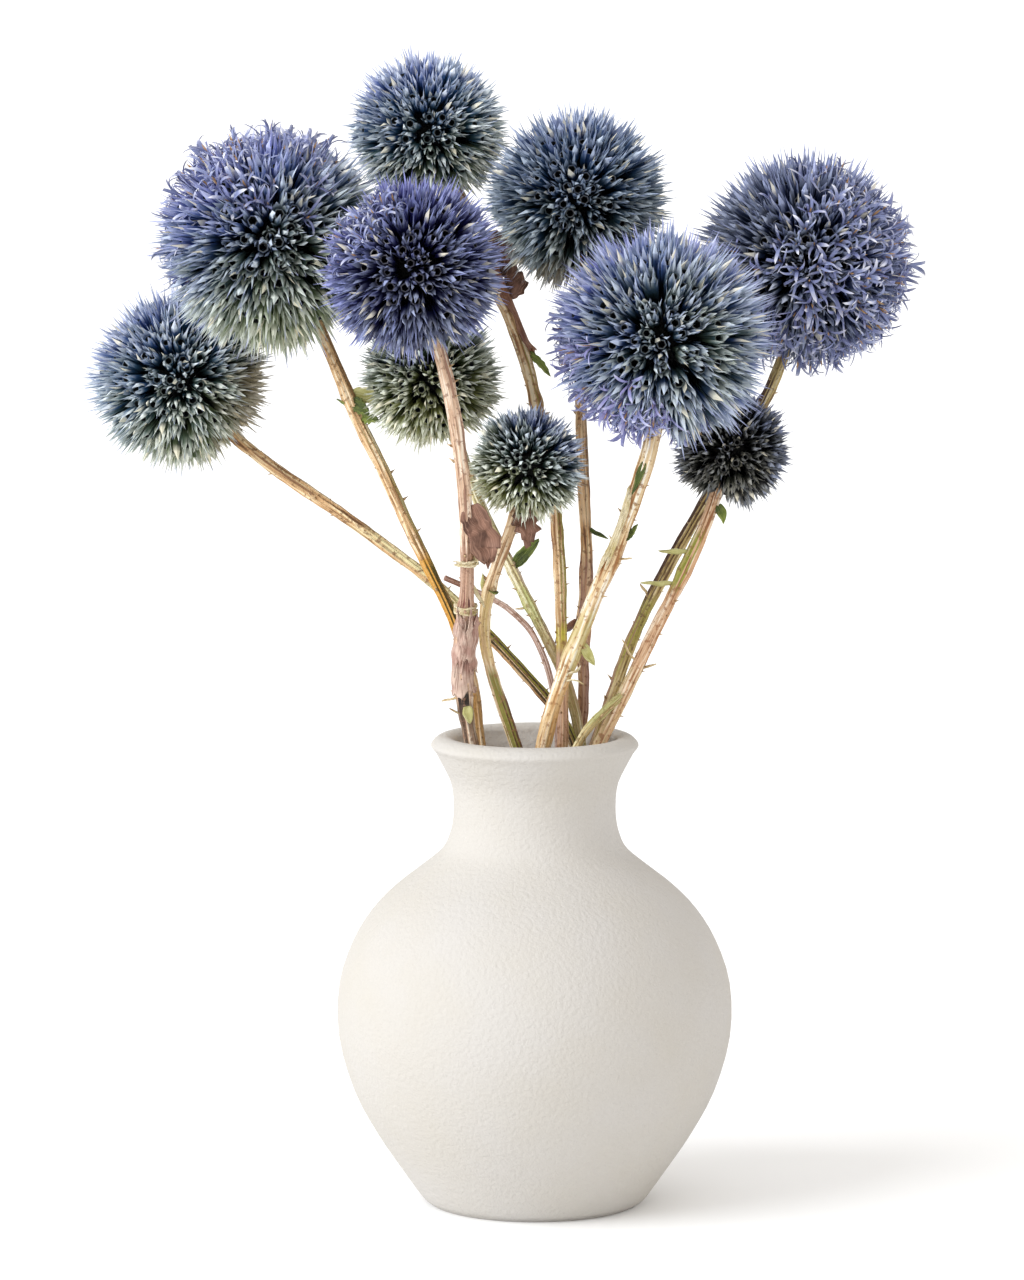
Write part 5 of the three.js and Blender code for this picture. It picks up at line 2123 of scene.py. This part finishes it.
def prickle() -> bpy.types.Object:
    """One small hooked prickle along +Z, in metres, outside the scene."""
    made = Slivers(("along",))
    rings = []
    for height, out, sway in ((0.0, 0.42, 0.0), (0.7, 0.22, 0.1)):
        points = [
            (wayward(2 * math.pi * k / 4)[0] * out + Vector((sway, 0, height))) * MM for k in range(4)
        ]
        rings.append((points, [dict(along=height)] * 4))
    first = ([Vector((0, 0, -0.3)) * MM], [dict(along=0.0)])
    last = ([Vector((0.35, 0, 1.7)) * MM], [dict(along=1.0)])
    made.sliver([first, *rings, last])
    return made.as_object("prickle")


@dataclass
class Bunch:
    """The ten heads on their stems, and the bare stalk."""

    def build(self) -> None:
        """Grows every stem and head."""
        bark_tree = BarkTree().tree
        spine = prickle()
        lines = {}
        for stem in stems():
            stem.build(bark_tree, spine)
            lines[stem.node] = stem.line
        bpy.data.objects.remove(spine)
        stock = FloretStock()
        for head in heads():
            head.build(stock, lines["stem_" + head.number])
        stock.clear()


# ---- studio ------------------------------------------------------------------------------


@dataclass(frozen=True)
class Studio:
    """A white floor, a soft key light from the left front, and the camera."""

    floor_radius: float = 60.0
    floor_colour: str = "fafafa"
    key_strength: float = 2.4
    key_colour: tuple[float, float, float] = (0.96, 1.0, 1.04)
    key_from: tuple[float, float, float] = (-0.783, -0.392, 0.483)
    key_spread: float = 45.0
    fill_strength: float = 1.0
    distance: float = 1.5
    elevation: float = 7.25
    target: tuple[float, float, float] = (-0.0057, 0.0, 0.1425)
    lens: float = 168.75

    def floor(self) -> None:
        """The floor, wide enough to fill the view."""
        sides = 64
        rim = [wayward(2 * math.pi * k / sides)[0] * self.floor_radius for k in range(sides)]
        mesh = mesh_of("floor", rim, [tuple(range(sides))])
        material, g = new_material("pale_floor")
        skin = g.add("ShaderNodeBsdfPrincipled", {"Base Color": linear(self.floor_colour), "Roughness": 0.9})
        skin.node.inputs["Specular IOR Level"].default_value = 0.0
        shown(g, skin)
        mesh.materials.append(material)
        new_object("floor", mesh)

    def lights(self) -> None:
        """The key light and the even white room."""
        key = bpy.data.lights.new("key", "SUN")
        key.energy = self.key_strength
        key.color = self.key_colour
        key.angle = math.radians(self.key_spread)
        lamp = bpy.data.objects.new("key", key)
        bpy.context.scene.collection.objects.link(lamp)
        lamp.rotation_euler = Vector(self.key_from).to_track_quat("Z", "Y").to_euler()
        world = bpy.data.worlds.new("white_room")
        world.use_nodes = True
        world.node_tree.nodes.clear()
        g = Graph(world.node_tree)
        light = g.add(
            "ShaderNodeBackground", {"Color": (1.0, 0.98, 0.955, 1.0), "Strength": self.fill_strength}
        )
        seen = g.add("ShaderNodeBackground", {"Color": (1.0, 1.0, 1.0, 1.0), "Strength": 1.0})
        to_camera = g.add("ShaderNodeLightPath", out="Is Camera Ray")
        mixed = g.add("ShaderNodeMixShader", {0: to_camera, 1: light, 2: seen})
        g.add("ShaderNodeOutputWorld", {"Surface": mixed})
        bpy.context.scene.world = world

    def camera(self) -> None:
        """The camera, a little above the vase's lip, looking slightly down."""
        data = bpy.data.cameras.new("camera")
        data.lens = self.lens
        data.sensor_width = 36.0
        data.clip_end = 200.0
        camera = bpy.data.objects.new("camera", data)
        bpy.context.scene.collection.objects.link(camera)
        lift = math.radians(self.elevation)
        back = Vector((0, -math.cos(lift), math.sin(lift)))
        camera.location = Vector(self.target) + back * self.distance
        camera.rotation_euler = back.to_track_quat("Z", "Y").to_euler()
        bpy.context.scene.camera = camera

    def build(self) -> None:
        """Sets up floor, lights, camera and plain display colours."""
        self.floor()
        self.lights()
        self.camera()
        bpy.context.scene.view_settings.view_transform = "Standard"


def main() -> None:
    """Builds the visual model round the frame."""
    logging.basicConfig(level=logging.INFO, format="%(name)s %(message)s")
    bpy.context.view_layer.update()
    Studio().build()
    Vase().build()
    Bunch().build()


if __name__ == "__main__":
    main()
